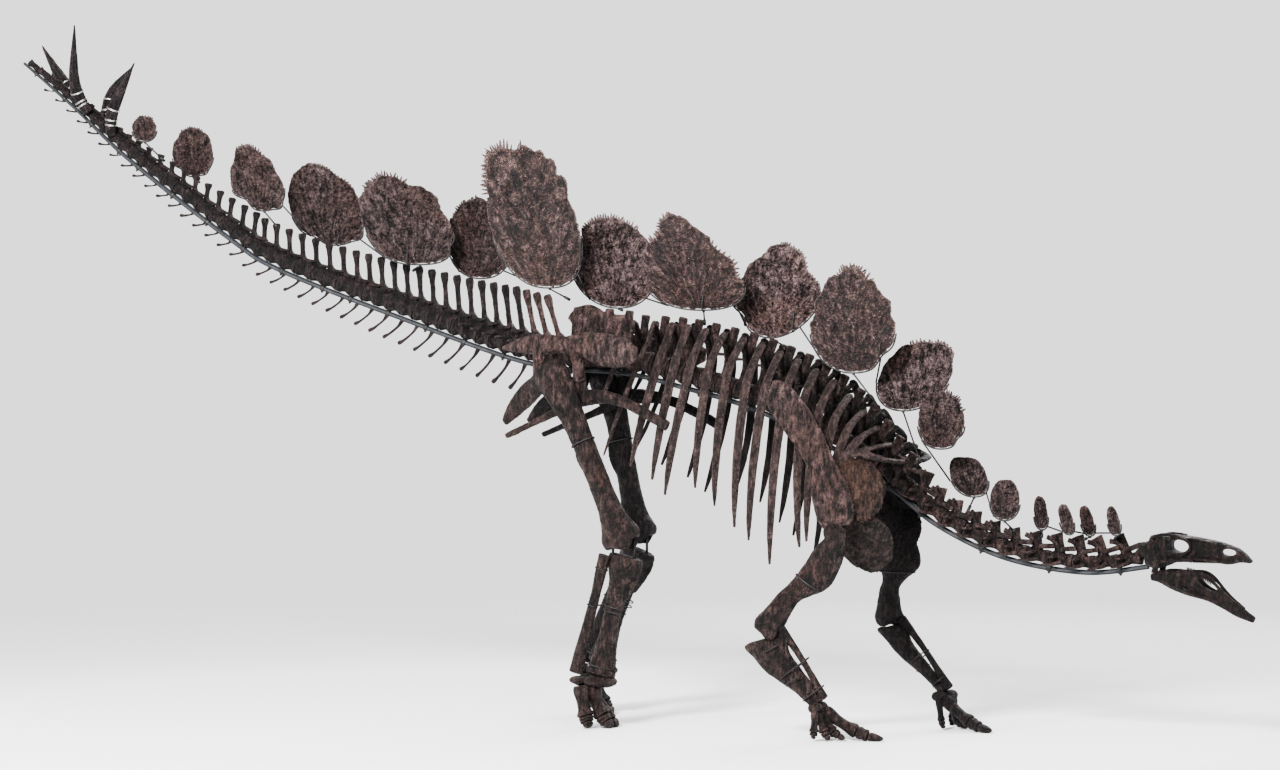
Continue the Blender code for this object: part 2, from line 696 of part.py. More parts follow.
def ischium_shapes(side):
    """The ischium: a tapering blade pointing back and down."""
    rows = [(-0.336, 0.110, 1.224, 0.009, 0.016), (-0.280, 0.130, 1.281, 0.010, 0.038),
            (-0.200, 0.160, 1.345, 0.012, 0.048), (-0.120, 0.200, 1.395, 0.018, 0.040)]
    socket = loft([(-0.130, side * 0.195, 1.385, 0.016, 0.032),
                   (-0.123, side * 0.212, 1.440, 0.020, 0.028)], 6)
    return [bone([(x, side * y, z, a, b) for x, y, z, a, b in rows], 4, 6), socket]


def limb(start, end, profile, side, sides=8):
    """A long bone between two joints, cut square to its line.

    Profile rows are share of length, offset forward, half across and half deep.
    """
    a = Vector((start[0], side * start[1], start[2]))
    b = Vector((end[0], side * end[1], end[2]))
    line = (b - a).normalized()
    forward = (AXIS_X - line * line.x).normalized()
    rings = []
    for share, offset, across, deep in profile:
        rings.append(ring(a.lerp(b, share) + forward * offset, line, AXIS_Y, across, deep, sides, False))
    return skin(rings)


FEMUR = [(-0.020, 0.0, 0.030, 0.055), (0.020, 0.0, 0.044, 0.078), (0.110, 0.0, 0.042, 0.076),
         (0.260, 0.0, 0.036, 0.056), (0.500, 0.0, 0.034, 0.047), (0.740, 0.0, 0.036, 0.049),
         (0.860, 0.0, 0.044, 0.062), (0.940, 0.0, 0.054, 0.086), (0.985, 0.0, 0.050, 0.078)]
CONDYLE = [(0.0, 0.0, 0.016, 0.030), (0.5, 0.0, 0.024, 0.062), (1.0, 0.0, 0.018, 0.048)]


def femur_shapes(knee, side):
    """The thigh bone with its head turned in to the hip socket and two condyles at the knee."""
    shaft = limb(HIP, knee, FEMUR, side)
    head = loft([(HIP[0] + 0.004, side * 0.250, HIP[2] - 0.030, 0.040, 0.040),
                 (HIP[0] + 0.001, side * 0.205, HIP[2] - 0.018, 0.040, 0.040),
                 (HIP[0], side * 0.186, HIP[2] - 0.014, 0.028, 0.028)], 6, AXIS_X)
    shapes = [shaft, head]
    for out in (-0.030, 0.030):
        top = (knee[0] - 0.012, knee[1] + out, knee[2] + 0.075)
        low = (knee[0] - 0.020, knee[1] + out, knee[2] - 0.012)
        shapes.append(limb(top, low, CONDYLE, side, 6))
    return shapes


TIBIA = [(0.000, 0.0, 0.050, 0.070), (0.060, 0.0, 0.052, 0.076), (0.180, -0.002, 0.042, 0.054),
         (0.320, -0.005, 0.034, 0.042), (0.520, -0.007, 0.030, 0.037), (0.740, -0.006, 0.034, 0.041),
         (0.900, -0.003, 0.044, 0.055), (1.000, 0.0, 0.046, 0.060)]
FIBULA = [(0.000, 0.0, 0.014, 0.026), (0.080, 0.0, 0.014, 0.025), (0.400, 0.002, 0.013, 0.022),
          (0.800, 0.0, 0.014, 0.025), (1.000, 0.0, 0.016, 0.028)]


def shin_shapes(knee, ankle, side):
    """Shin bone and the thin bone beside it, joined at their ends, with two pins to the knee."""
    top = (knee[0] + 0.005, knee[1] - 0.008, knee[2] - 0.042)
    low = (ankle[0] + 0.022, ankle[1] - 0.008, ankle[2] + 0.014)
    thin_top = (knee[0] - 0.070, knee[1] + 0.034, knee[2] - 0.036)
    thin_low = (ankle[0] - 0.076, ankle[1] + 0.030, ankle[2] + 0.020)
    shapes = [limb(top, low, TIBIA, side), limb(thin_top, thin_low, FIBULA, side, 6)]
    for share in (0.04, 0.955):
        a = Vector((top[0], side * top[1], top[2])).lerp(Vector((low[0], side * low[1], low[2])), share)
        b = Vector((thin_top[0], side * thin_top[1], thin_top[2])).lerp(
            Vector((thin_low[0], side * thin_low[1], thin_low[2])), share)
        shapes.append(loft([(*a, 0.018, 0.016), (*b, 0.012, 0.011)], 4, AXIS_Z))
    for forward, out in ((-0.045, 0.012), (0.040, -0.010)):
        pin_top = (knee[0] + forward, side * (knee[1] + out), knee[2] + 0.045)
        pin_low = (knee[0] + forward, side * (knee[1] + out), knee[2] - 0.075)
        shapes.append(tube([pin_low, pin_top], 0.006))
    return shapes


def digit(root, tip, thick, sides=5):
    """One digit in one skin: its long bone, its knuckle and a toe that ends in a blunt hoof on the floor."""
    rows = []
    for share, size in ((0.0, 0.62), (0.30, 0.62), (0.58, 1.0), (0.84, 0.80), (1.0, 0.50)):
        x = root[0] + (tip[0] - root[0]) * share
        y = root[1] + (tip[1] - root[1]) * share
        z = tip[2] + (root[2] - tip[2]) * (1.0 - share) ** DIGIT_BEND
        rows.append((x, y, z, thick * size, thick * size))
    return loft(rows, sides)


# Digits of the foot: sideways place of root and tip, step forward of root and tip
FOOT_DIGITS = [(-0.040, -0.056, -0.006, 0.112), (0.0, 0.0, 0.012, 0.110), (0.040, 0.054, -0.014, 0.030)]


def foot_shapes(ankle, side):
    """Ankle bones and three broad digits."""
    x, y, z = ankle
    y *= side
    shapes = [loft([(x - 0.104, y, z - 0.010, 0.034, 0.014), (x - 0.050, y, z - 0.016, 0.048, 0.022),
                    (x + 0.030, y, z - 0.014, 0.050, 0.024), (x + 0.080, y, z - 0.014, 0.036, 0.016)], 6)]
    for out_root, out_tip, ahead_root, ahead_tip in FOOT_DIGITS:
        root = (x - 0.034 + ahead_root, y + side * out_root, z - 0.030)
        tip = (x - 0.034 + ahead_tip, y + side * out_tip, FLOOR_HEIGHT)
        shapes.append(digit(root, tip, 0.026, 6))
    return shapes


def scapula_shapes(side):
    """The long shoulder blade, with the rounded coracoid in front of its lower end."""
    rows = [(0.915, 0.268, 1.352, 0.009, 0.052), (0.960, 0.272, 1.330, 0.011, 0.066),
            (1.040, 0.284, 1.240, 0.012, 0.070), (1.105, 0.292, 1.150, 0.013, 0.062),
            (1.150, 0.296, 1.060, 0.014, 0.060), (1.185, 0.296, 0.960, 0.017, 0.080),
            (1.205, 0.292, 0.880, 0.022, 0.082), (1.215, 0.290, 0.828, 0.024, 0.060)]
    blade = bone([(x, side * y, z, a, b) for x, y, z, a, b in rows], 8, 6)
    outline = oval(14, 0.098, 0.128, 0.10)
    core = oval(7, 0.066, 0.086, 0.10)

    def place(s, t, d):
        return Vector((1.292 + s, side * (0.262 - 0.30 * s) + d, 0.977 + t))

    return [blade, lens(outline, core, 0.006, 0.017, place)]


def oval(count, half_width, half_height, lean):
    """Points round a leaning oval."""
    out = []
    for k in range(count):
        angle = 2.0 * math.pi * k / count
        t = half_height * math.sin(angle)
        out.append((half_width * math.cos(angle) - lean * t, t))
    return out


def sternal_shape(side):
    """One flat breast bone below the shoulder."""
    outline = oval(14, 0.112, 0.132, 0.12)
    core = oval(7, 0.074, 0.088, 0.12)
    turn = 0.30
    rise = 0.72

    def place(s, t, d):
        return Vector((1.278 + s + 0.10 * t, side * (0.183 - turn * s + rise * t) + d, 0.777 + t))

    return lens(outline, core, 0.005, 0.014, place)


HUMERUS = [(-0.060, 0.008, 0.026, 0.022), (0.050, 0.022, 0.040, 0.040), (0.200, 0.029, 0.044, 0.063),
           (0.400, 0.034, 0.042, 0.067), (0.550, 0.010, 0.034, 0.049), (0.660, -0.010, 0.030, 0.042),
           (0.850, -0.012, 0.040, 0.052), (0.950, -0.014, 0.044, 0.058), (1.020, -0.016, 0.034, 0.042)]
ULNA = [(-0.045, -0.096, 0.014, 0.014), (0.000, -0.079, 0.022, 0.034), (0.130, -0.024, 0.030, 0.082),
        (0.350, -0.035, 0.028, 0.064), (0.730, -0.013, 0.020, 0.041), (1.000, -0.003, 0.022, 0.032)]
RADIUS = [(0.048, 0.058, 0.017, 0.019), (0.350, 0.056, 0.012, 0.014), (0.620, 0.049, 0.012, 0.013),
          (0.850, 0.038, 0.015, 0.016), (1.010, 0.030, 0.018, 0.020)]


def humerus_shapes(elbow, side, crest):
    """The upper arm bone, with a broad crest in front of its upper half."""
    rows = [(share, offset, across, deep * (crest if share < 0.5 else 1.0))
            for share, offset, across, deep in HUMERUS]
    return [limb(SHOULDER, elbow, rows, side)]


def forearm_shapes(elbow, wrist, side, wedge):
    """Ulna and radius, joined at both ends; wedge narrows the ulna, whose blade is turned."""
    blade = [(share, offset * wedge, across, deep * wedge) for share, offset, across, deep in ULNA]
    inward = (elbow[0], elbow[1] - 0.008, elbow[2])
    front = [(share, offset * (0.4 + 0.6 * wedge), across, deep) for share, offset, across, deep in RADIUS]
    return [limb(elbow, wrist, blade, side, 7), limb(inward, wrist, front, side, 6)]


# Digits of the hand from the innermost: sideways place of root and tip, reach forward and thickness
HAND_DIGITS = [(-0.046, -0.066, 0.045, 0.017), (-0.020, -0.030, 0.255, 0.030), (0.006, 0.004, 0.110, 0.021),
               (0.030, 0.038, 0.058, 0.022), (0.052, 0.058, -0.006, 0.020)]


def hand_shapes(wrist, heading, side):
    """Wrist bones and five digits, the second one long."""
    x, y, z = wrist
    y *= side
    ahead = Vector((math.cos(heading), -side * math.sin(heading), 0.0))
    outward = Vector((math.sin(heading), side * math.cos(heading), 0.0))
    middle = Vector((x, y, z - 0.018))
    wrist_bones = ((-0.060, 0.018), (-0.022, 0.028), (0.024, 0.028), (0.062, 0.018))
    rows = [(*(middle + outward * step), thick, thick * 0.75) for step, thick in wrist_bones]
    shapes = [loft(rows, 6, AXIS_X)]
    for out_root, out_tip, reach, thick in HAND_DIGITS:
        root = middle + outward * out_root + ahead * (0.004 + 0.06 * reach)
        root.z -= 0.012
        tip = middle + outward * out_tip + ahead * reach
        tip.z = FLOOR_HEIGHT if reach > 0.05 else 0.022
        shapes.append(digit(root, tip, thick))
    return shapes


SKULL = [
    (2.334, 0.728, 0.020, 0.018), (2.366, 0.744, 0.046, 0.034), (2.392, 0.742, 0.058, 0.062),
    (2.440, 0.752, 0.064, 0.062), (2.500, 0.762, 0.060, 0.049), (2.560, 0.758, 0.050, 0.046),
    (2.630, 0.750, 0.042, 0.042), (2.690, 0.738, 0.036, 0.038), (2.735, 0.731, 0.028, 0.024),
    (2.777, 0.712, 0.014, 0.006),
]


def skull_shapes():
    """The skull: a long wedge with two jaw joints at its rear and small teeth below."""
    shapes = [loft([(x, 0.0, z, half, deep) for x, z, half, deep in SKULL], 8)]
    for side in (RIGHT, LEFT):
        shapes.append(loft([(2.425, side * 0.050, 0.735, 0.010, 0.022),
                            (2.418, side * 0.052, 0.690, 0.009, 0.013),
                            (2.412, side * 0.052, 0.664, 0.011, 0.013)], 5))
        teeth = [(2.556 + 0.0075 * step, 0.701 if step % 2 else 0.711) for step in range(13)]
        shapes.append(prism([(2.640, 0.722), (2.556, 0.722)] + teeth, side, 0.020, 0.030))
    return shapes


def skull_openings():
    """Through openings: the eye sockets, the nostrils and the windows behind the eyes."""
    return [
        loft([(2.502, -0.2, 0.768, 0.046, 0.026), (2.502, 0.2, 0.768, 0.046, 0.026)], 10, AXIS_X),
        loft([(2.690, -0.2, 0.747, 0.034, 0.014), (2.690, 0.2, 0.747, 0.034, 0.014)], 8, AXIS_X),
        loft([(2.425, -0.2, 0.758, 0.014, 0.022), (2.425, 0.2, 0.758, 0.014, 0.022)], 6, AXIS_X),
    ]


def jaw_shapes():
    """The hanging lower jaw: two rami that meet in a narrow beak."""
    shapes = []
    for side in (RIGHT, LEFT):
        rows = [(2.400, 0.054, 0.648, 0.008, 0.012), (2.440, 0.055, 0.652, 0.009, 0.026),
                (2.500, 0.052, 0.638, 0.009, 0.040), (2.560, 0.044, 0.621, 0.009, 0.044),
                (2.620, 0.033, 0.596, 0.008, 0.036), (2.680, 0.021, 0.555, 0.008, 0.024),
                (2.730, 0.012, 0.522, 0.009, 0.020), (2.785, 0.003, 0.494, 0.004, 0.012)]
        shapes.append(bone([(x, side * y, z, a, b) for x, y, z, a, b in rows], 7, 6))
    shapes.append(loft([(2.690, 0.0, 0.540, 0.018, 0.014), (2.745, 0.0, 0.512, 0.014, 0.016),
                        (2.788, 0.0, 0.492, 0.004, 0.012)], 6))
    shapes.append(loft([(2.412, -0.052, 0.656, 0.008, 0.008),
                        (2.412, 0.052, 0.656, 0.008, 0.008)], 4, AXIS_X))
    return shapes


def jaw_openings():
    """The long windows right through the jaw, one on each side."""
    slope = Vector((1.0, 0.0, -0.60))
    return [loft([(2.612, -0.2, 0.612, 0.044, 0.0120), (2.612, 0.2, 0.612, 0.044, 0.0120)], 8, slope)]


# Tail spikes: name, root, two bends and tip
SPIKES = [
    ("tail_spike_rear_right", (-2.440, -0.030, 2.580), (-2.476, -0.048, 2.650), (-2.466, -0.100, 2.735),
     (-2.362, -0.250, 2.941)),
    ("tail_spike_rear_left", (-2.545, 0.028, 2.655), (-2.592, 0.042, 2.697), (-2.662, 0.066, 2.765),
     (-2.798, 0.135, 2.904)),
    ("tail_spike_front_right", (-2.322, -0.032, 2.478), (-2.304, -0.045, 2.570), (-2.262, -0.060, 2.640),
     (-2.134, -0.130, 2.777)),
    ("tail_spike_front_left", (-2.390, 0.032, 2.530), (-2.388, 0.050, 2.615), (-2.378, 0.085, 2.690),
     (-2.348, 0.170, 2.790)),
]


def spike_shape(root, low, high, tip):
    """A tail spike, thick at its root, a little bent and tapered to its tip."""
    route = [(*root, 0.022), (*low, 0.027), (*high, 0.023), (*tip, 0.0025)]
    rows = [(x, y, z, radius * 0.8, radius) for x, y, z, radius in spline(route, 6)]
    return loft(rows, 6)


def plate_cut(index, angle):
    """The share cut off a plate's oval at an angle."""
    share = 0.0
    for plate, middle, stretch, cut in PLATE_CUTS:
        away = abs(math.degrees(angle) - middle) / stretch
        if plate == index and away < 1.0:
            share += cut * math.cos(0.5 * math.pi * away) ** 2
    return share


def plate_outline(index, draw=None):
    """Points round a plate: an upright oval of chosen fullness, with teeth round its top."""
    _, _, half, rise, drop, lean, full_up, full_down, teeth, whole_turn = PLATES[index]
    upper = whole_turn // 2
    lower = max(4, upper // 2)
    lower += (upper + lower) % 2
    out = []
    for k in range(upper + lower):
        top = k < upper
        angle = math.pi * (k / upper if top else 1.0 + (k - upper) / lower)
        c, s = math.cos(angle), math.sin(angle)
        power = 2.0 / (full_up if top else full_down)
        x = half * math.copysign(abs(c) ** power, c)
        z = (rise if top else drop) * math.copysign(abs(s) ** power, s)
        size = 1.0 - plate_cut(index, angle)
        if draw and top and k % 2:
            size -= teeth * (0.4 + 0.6 * draw.random()) / max(math.hypot(x, z), 0.02)
        out.append((size * (x + lean * z), size * z))
    return out


def plate_place(sizes, side):
    """Where a point of a plate lies, given its place along, its height and its offset."""
    x, z, drop = sizes[0], sizes[1], sizes[4]
    shift = PLATE_BASE_SIDE

    def place(s, t, d):
        return Vector((x + s, side * (shift + PLATE_SPLAY * (t + drop)) + d, z + t))

    return place


def plate_body(sizes):
    """Half thickness of the middle of a plate: large plates are thicker."""
    return PLATE_THIN + (PLATE_BODY - PLATE_THIN) * min(sizes[2] / 0.15, 1.0)


def plate_shape(index):
    """One bone plate, leaning a little outwards."""
    sizes = PLATES[index]
    outline = plate_outline(index, random.Random(PLATE_SEED + index))
    core = []
    if sizes[2] > PLATE_CORE_FROM:
        core = [(s * PLATE_RING, t * PLATE_RING) for s, t in plate_outline(index)[::2]]
    place = plate_place(sizes, RIGHT if index % 2 == 0 else LEFT)
    return lens(outline, core, PLATE_RIM, plate_body(sizes), place)


def cradle_points(index, lower=0.0):
    """The wire just below the lower rim of a plate, from its rear end to its front end."""
    sizes = PLATES[index]
    place = plate_place(sizes, RIGHT if index % 2 == 0 else LEFT)
    outline = plate_outline(index)
    count = len(outline)
    points = []
    for k, (s, t) in enumerate(outline):
        if t >= 0.0:
            continue
        before, here, after = (Vector(outline[(k + step) % count]) for step in (-1, 0, 1))
        a, b = (here - before).normalized(), (after - here).normalized()
        mitre = Vector(((a + b).y, -(a + b).x)).normalized()
        out = (WIRE_RADIUS + GAP + lower) / max(mitre.dot(Vector((a.y, -a.x))), 0.5)
        points.append(place(here.x + mitre.x * out, here.y + mitre.y * out, 0.0))
    return points


def wire_run(points):
    """A wire along points."""
    return tube(points, WIRE_RADIUS)


def spine_top(x):
    """The top of the backbone at a place along x."""
    length = BACK.at_x(x)
    return along(length, 0.0, between(SPINE_TOPS, x) - 0.012, 0.0)


def stalk(index, x):
    """A wire from the middle of a cradle down to the bone below it."""
    points = cradle_points(index, WIRE_JOIN)
    return wire_run([points[len(points) // 2], spine_top(x)])


def link(index):
    """A wire from the front part of one cradle to the rear part of the next."""
    here = cradle_points(index, WIRE_JOIN)
    ahead = cradle_points(index + 1, WIRE_JOIN)
    start = REAR_LINKED.get(index + 1, LINK_FROM)
    end = 0.0 if index + 1 in REAR_LINKED else LINK_TO
    return wire_run([here[round(start * (len(here) - 1))], ahead[round(end * (len(ahead) - 1))]])


def prong(index, share, height):
    """A short wire from the cradle up the right face of a plate."""
    sizes = PLATES[index]
    place = plate_place(sizes, RIGHT if index % 2 == 0 else LEFT)
    points = cradle_points(index, WIRE_JOIN)
    start = points[int(share * (len(points) - 1))]
    s = start.x - sizes[0]
    t = start.z - sizes[1]
    clear = -(plate_body(sizes) * 1.15 + WIRE_RADIUS + 2.0 * GAP)
    return wire_run([start, place(s, t, clear), place(s + 0.004, t + height, clear)])


def wire_groups():
    """The wires that carry the plates, in the runs that hang together."""
    groups = {}
    for name, first, last, stalks in WIRE_RUNS:
        groups[name] = [wire_run(cradle_points(index)) for index in range(first, last)]
        groups[name] += [link(index) for index in range(first, last - 1)]
        groups[name] += [stalk(index, x) for index, x in stalks]
    for index, share, height in PRONGS:
        groups["plate_wires_back"].append(prong(index, share, height))
    return groups


def backbone_nodes(bone_dark, bone_brown, steel):
    """The rod, the bones on it, the skull with its jaw and the tail spikes."""
    lengths = [0.020] + [BACK.at_x(x) for x in REGION_ENDS_X]
    stops = [spread(start, end, count) for start, end, count in zip(lengths, lengths[1:], REGION_BONES)]
    tail_tip = tail_shapes(stops[0], 1.0)
    tail_middle = tail_shapes(stops[1])
    tail_base = tail_shapes(stops[2])
    sacrum = sacrum_shapes(stops[3])
    neck = neck_shapes(stops[5])
    skull = skull_shapes()
    rod_stops = [length for stretch in stops for length in stretch[1:]]
    node("spine_rod", [rod_shape(rod_stops)] + chevron_shapes(), steel)
    node("tail_tip", tail_tip, bone_dark, tail_middle[1:4])
    node("tail_middle", tail_middle, bone_dark, tail_base[1:4])
    node("tail_base", tail_base, bone_dark, sacrum[1:])
    node("neck", neck, bone_dark)
    node("skull", skull, bone_brown, neck[:1], skull_openings())
    node("lower_jaw", jaw_shapes(), bone_dark, skull, jaw_openings())
    for name, *route in SPIKES:
        node(name, [spike_shape(*route)], bone_dark, tail_tip)
    return stops[4], sacrum, tail_tip + tail_middle + tail_base + sacrum + neck


def side_nodes(side, dorsal_stops, bone_dark, bone_brown):
    """The ribs, the shoulder, the hip and both limbs of one side."""
    word, knee, ankle, elbow, wrist, heading, crest, wedge = POSES[side]
    floor = block((-1.0, -1.0, -0.2), (3.0, 1.0, 0.0))
    blade = scapula_shapes(side)
    column = dorsal_shapes(dorsal_stops, side)
    humerus = humerus_shapes(elbow, side, crest)
    forearm = forearm_shapes(elbow, wrist, side, wedge)
    node("rib_cage_" + word, column + rib_shapes(dorsal_stops, side), bone_dark, blade)
    node("scapula_" + word, blade, bone_brown)
    node("sternal_plate_" + word, [sternal_shape(side)], bone_dark, blade)
    node("humerus_" + word, humerus, bone_dark, blade)
    node("forearm_" + word, forearm, bone_dark, humerus)
    node("hand_" + word, hand_shapes(wrist, heading, side), bone_dark, forearm, [floor])
    thigh = femur_shapes(knee, side)
    ilium = ilium_shapes(side)
    pubis = pubis_shapes(side)
    shin = shin_shapes(knee, ankle, side)
    node("ilium_" + word, ilium, bone_brown, thigh)
    node("pubis_" + word, pubis, bone_dark, thigh + ilium)
    node("ischium_" + word, ischium_shapes(side), bone_dark, thigh + ilium + pubis)
    node("femur_" + word, thigh, bone_dark)
    node("shin_" + word, shin, bone_dark, thigh)
    node("foot_" + word, foot_shapes(ankle, side), bone_dark, shin, [floor])
    return ilium, column


def build():
    """Make every node."""
    bone_dark = finish("bone_dark", (0.055, 0.045, 0.043), 0.62)
    bone_brown = finish("bone_brown", (0.135, 0.095, 0.078), 0.60)
    plate_bone = finish("plate_bone", (0.120, 0.092, 0.082), 0.52)
    steel = finish("rod_steel", (0.045, 0.050, 0.058), 0.40, 0.9)
    wire = finish("wire_black", (0.012, 0.012, 0.013), 0.45, 0.6)

    dorsal_stops, sacrum, carriers = backbone_nodes(bone_dark, bone_brown, steel)
    ilia = []
    for side in (RIGHT, LEFT):
        ilium, column = side_nodes(side, dorsal_stops, bone_dark, bone_brown)
        ilia += ilium
        carriers = carriers + column
    node("sacrum", sacrum, bone_brown, ilia)
    for name, shapes in wire_groups().items():
        node(name, shapes, wire, carriers)
    for index in range(len(PLATES)):
        node("plate_%02d" % (index + 1), [plate_shape(index)], plate_bone)


def centre_on_floor():
    """Move everything so that the middle of the skeleton's box stands over the origin."""
    corners = []
    for item in bpy.context.scene.objects:
        if item.type == "MESH":
            corners += [item.matrix_world @ vert.co for vert in item.data.vertices]
    middle_x = (min(c.x for c in corners) + max(c.x for c in corners)) / 2.0
    middle_y = (min(c.y for c in corners) + max(c.y for c in corners)) / 2.0
    for item in bpy.context.scene.objects:
        item.data.transform(Matrix.Translation((-middle_x, -middle_y, 0.0)))


clear_scene()
build()
centre_on_floor()
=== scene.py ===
"""Finished look of a mounted stegosaurus skeleton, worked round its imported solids.

Lengths are in metres, +X points to the head and -Y is the animal's right side. Bones are shaped
with the middle of the body at y = 0 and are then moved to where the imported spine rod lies.
"""
import bisect
import logging
import math
import random
from dataclasses import dataclass, replace
from enum import Enum
from typing import Callable, Dict, List, Optional, Sequence, Tuple, Union

import bpy
import numpy as np
from mathutils import Matrix, Vector, noise


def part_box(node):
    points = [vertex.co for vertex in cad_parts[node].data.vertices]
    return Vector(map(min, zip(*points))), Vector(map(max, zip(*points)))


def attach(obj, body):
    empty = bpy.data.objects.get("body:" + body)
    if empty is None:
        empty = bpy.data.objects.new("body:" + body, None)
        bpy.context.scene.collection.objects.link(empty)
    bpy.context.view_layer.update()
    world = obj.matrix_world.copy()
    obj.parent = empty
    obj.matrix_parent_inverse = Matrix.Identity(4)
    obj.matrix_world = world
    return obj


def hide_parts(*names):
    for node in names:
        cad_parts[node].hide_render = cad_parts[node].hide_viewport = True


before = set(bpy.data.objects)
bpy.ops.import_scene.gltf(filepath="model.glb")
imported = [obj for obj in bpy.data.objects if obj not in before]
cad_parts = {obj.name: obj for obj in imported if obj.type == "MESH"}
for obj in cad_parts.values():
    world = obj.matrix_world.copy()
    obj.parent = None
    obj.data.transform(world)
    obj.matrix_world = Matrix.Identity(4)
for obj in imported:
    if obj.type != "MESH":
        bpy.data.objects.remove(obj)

log = logging.getLogger("skeleton")

Triple = Tuple[float, float, float]
Colour = Triple
Row = Tuple[float, ...]
Table = Tuple[Row, ...]
Rows = Sequence[Sequence[float]]
Shape = Tuple[List[Vector], List[Tuple[int, ...]]]
Shapes = Sequence[Shape]
Socket = bpy.types.NodeSocket

TURN = 2.0 * math.pi
BOTH = (-1.0, 1.0)
AXIS_X = Vector((1.0, 0.0, 0.0))
AXIS_Y = Vector((0.0, 1.0, 0.0))
AXIS_Z = Vector((0.0, 0.0, 1.0))
GAP = 0.0003


class Side(Enum):
    """The two sides of the animal: the word in their names and the sign of y."""

    RIGHT = ("right", -1.0)
    LEFT = ("left", 1.0)

    def pick(self, near: "BoneFinish") -> "BoneFinish":
        """Finish of a bone, swapped on the far side for a darker copy that paints shade there."""
        return near if self is Side.RIGHT else SHADED_FAR_BONE


def between(table: Table, place: float) -> float:
    """Value at a place in a table of (place, value) rows, straight between rows and level beyond the ends."""
    return float(np.interp(place, [row[0] for row in table], [row[1] for row in table]))


def spline(rows: Rows, steps: int) -> List[Row]:
    """Read even steps from a smooth curve through rows of numbers.

    Args:
        rows: the rows that the curve goes through.
        steps: how many steps to read.

    Returns:
        One more row than steps.
    """
    last = len(rows) - 1
    out = []
    for step in range(steps + 1):
        place = last * step / steps
        index = min(int(place), last - 1)
        t = place - index
        near = (rows[max(index - 1, 0)], rows[index], rows[index + 1], rows[min(index + 2, last)])
        out.append(tuple(
            0.5 * (2 * b + (c - a) * t + (2 * a - 5 * b + 4 * c - d) * t * t + (3 * b - a - 3 * c + d) * t ** 3)
            for a, b, c, d in zip(*near)))
    return out


def section(centre: Vector, line: Vector, across: Vector, half_across: float, half_deep: float,
            sides: int, boxy: float = 1.0) -> List[Vector]:
    """Corners of one oval cut through a bone.

    Args:
        centre: middle of the oval.
        line: direction that the bone runs in.
        across: direction of its first half width.
        half_across: half width that way.
        half_deep: half width the other way.
        sides: number of corners.
        boxy: 1 for an oval, less for a squarer section.

    Returns:
        The corners in order.
    """
    side = (across - line * across.dot(line)).normalized()
    other = line.cross(side)
    corners = []
    for corner in range(sides):
        c, s = math.cos(TURN * corner / sides), math.sin(TURN * corner / sides)
        c, s = math.copysign(abs(c) ** boxy, c), math.copysign(abs(s) ** boxy, s)
        corners.append(centre + side * (half_across * c) + other * (half_deep * s))
    return corners


def skin(rings: List[List[Vector]], closed: bool = False) -> Shape:
    """Lay a skin over rings of the same number of corners.

    Args:
        rings: the rings in order.
        closed: true for a hoop, whose last ring meets its first.

    Returns:
        A closed shape.
    """
    sides = len(rings[0])
    count = len(rings)
    faces: List[Tuple[int, ...]] = []
    for start in range(count if closed else count - 1):
        a, b = start * sides, (start + 1) % count * sides
        faces += [(a + k, a + (k + 1) % sides, b + (k + 1) % sides, b + k) for k in range(sides)]
    if not closed:
        faces.append(tuple(reversed(range(sides))))
        faces.append(tuple(range((count - 1) * sides, count * sides)))
    return [corner for corners in rings for corner in corners], faces


def loft(rows: Rows, sides: int = 14, steps: int = 0, across: Vector = AXIS_Y, boxy: float = 1.0) -> Shape:
    """Lay a skin over ovals strung along a path.

    Args:
        rows: x, y, z, half width across, half width the other way.
        sides: corners of each oval.
        steps: smooth the rows to this many steps, or 0 to take them as they are.
        across: direction of the first half width.
        boxy: 1 for ovals, less for squarer sections.

    Returns:
        A closed shape.
    """
    rows = spline(rows, steps) if steps else rows
    points = [Vector(row[:3]) for row in rows]
    last = len(points) - 1
    rings = []
    for index, row in enumerate(rows):
        line = (points[min(index + 1, last)] - points[max(index - 1, 0)]).normalized()
        rings.append(section(points[index], line, across, row[3], row[4], sides, boxy))
    return skin(rings)


def tube(points: Sequence[Vector], radius: float, sides: int = 8, closed: bool = False) -> Shape:
    """Run a round bar along points.

    Args:
        points: the middle line.
        radius: half its thickness.
        sides: corners of its section.
        closed: true for a hoop.

    Returns:
        A closed shape.
    """
    count = len(points)
    rings = []
    for index, point in enumerate(points):
        ahead = points[(index + 1) % count] if closed else points[min(index + 1, count - 1)]
        behind = points[index - 1] if closed or index else point
        line = (ahead - behind).normalized()
        across = AXIS_Y if abs(line.y) < 0.9 else AXIS_X
        rings.append(section(point, line, across, radius, radius, sides))
    return skin(rings, closed)


def moved(point: Triple, step: Triple) -> Triple:
    """A point moved by a step."""
    return point[0] + step[0], point[1] + step[1], point[2] + step[2]


def mirrored(rows: Table, sign: float) -> Table:
    """Rows of x, y and more, with y on the side of the sign."""
    return tuple((row[0], sign * row[1], *row[2:]) for row in rows)


def curve(points: Rows, steps: int) -> List[Vector]:
    """Points at even steps along a smooth curve through the given ones."""
    return [Vector(point) for point in spline(points, steps)]


def ball(centre: Vector, radii: Triple, sides: int = 14) -> Shape:
    """Make an egg with upright axis.

    Args:
        centre: its middle.
        radii: half sizes along x, y and z.
        sides: corners of each level.

    Returns:
        A closed shape.
    """
    rings = []
    for level in range(1, 8):
        height, reach = -math.cos(math.pi * level / 8.0), math.sin(math.pi * level / 8.0)
        rings.append([centre + Vector((
            radii[0] * reach * math.cos(TURN * k / sides), radii[1] * reach * math.sin(TURN * k / sides),
            radii[2] * height)) for k in range(sides)])
    return skin(rings)


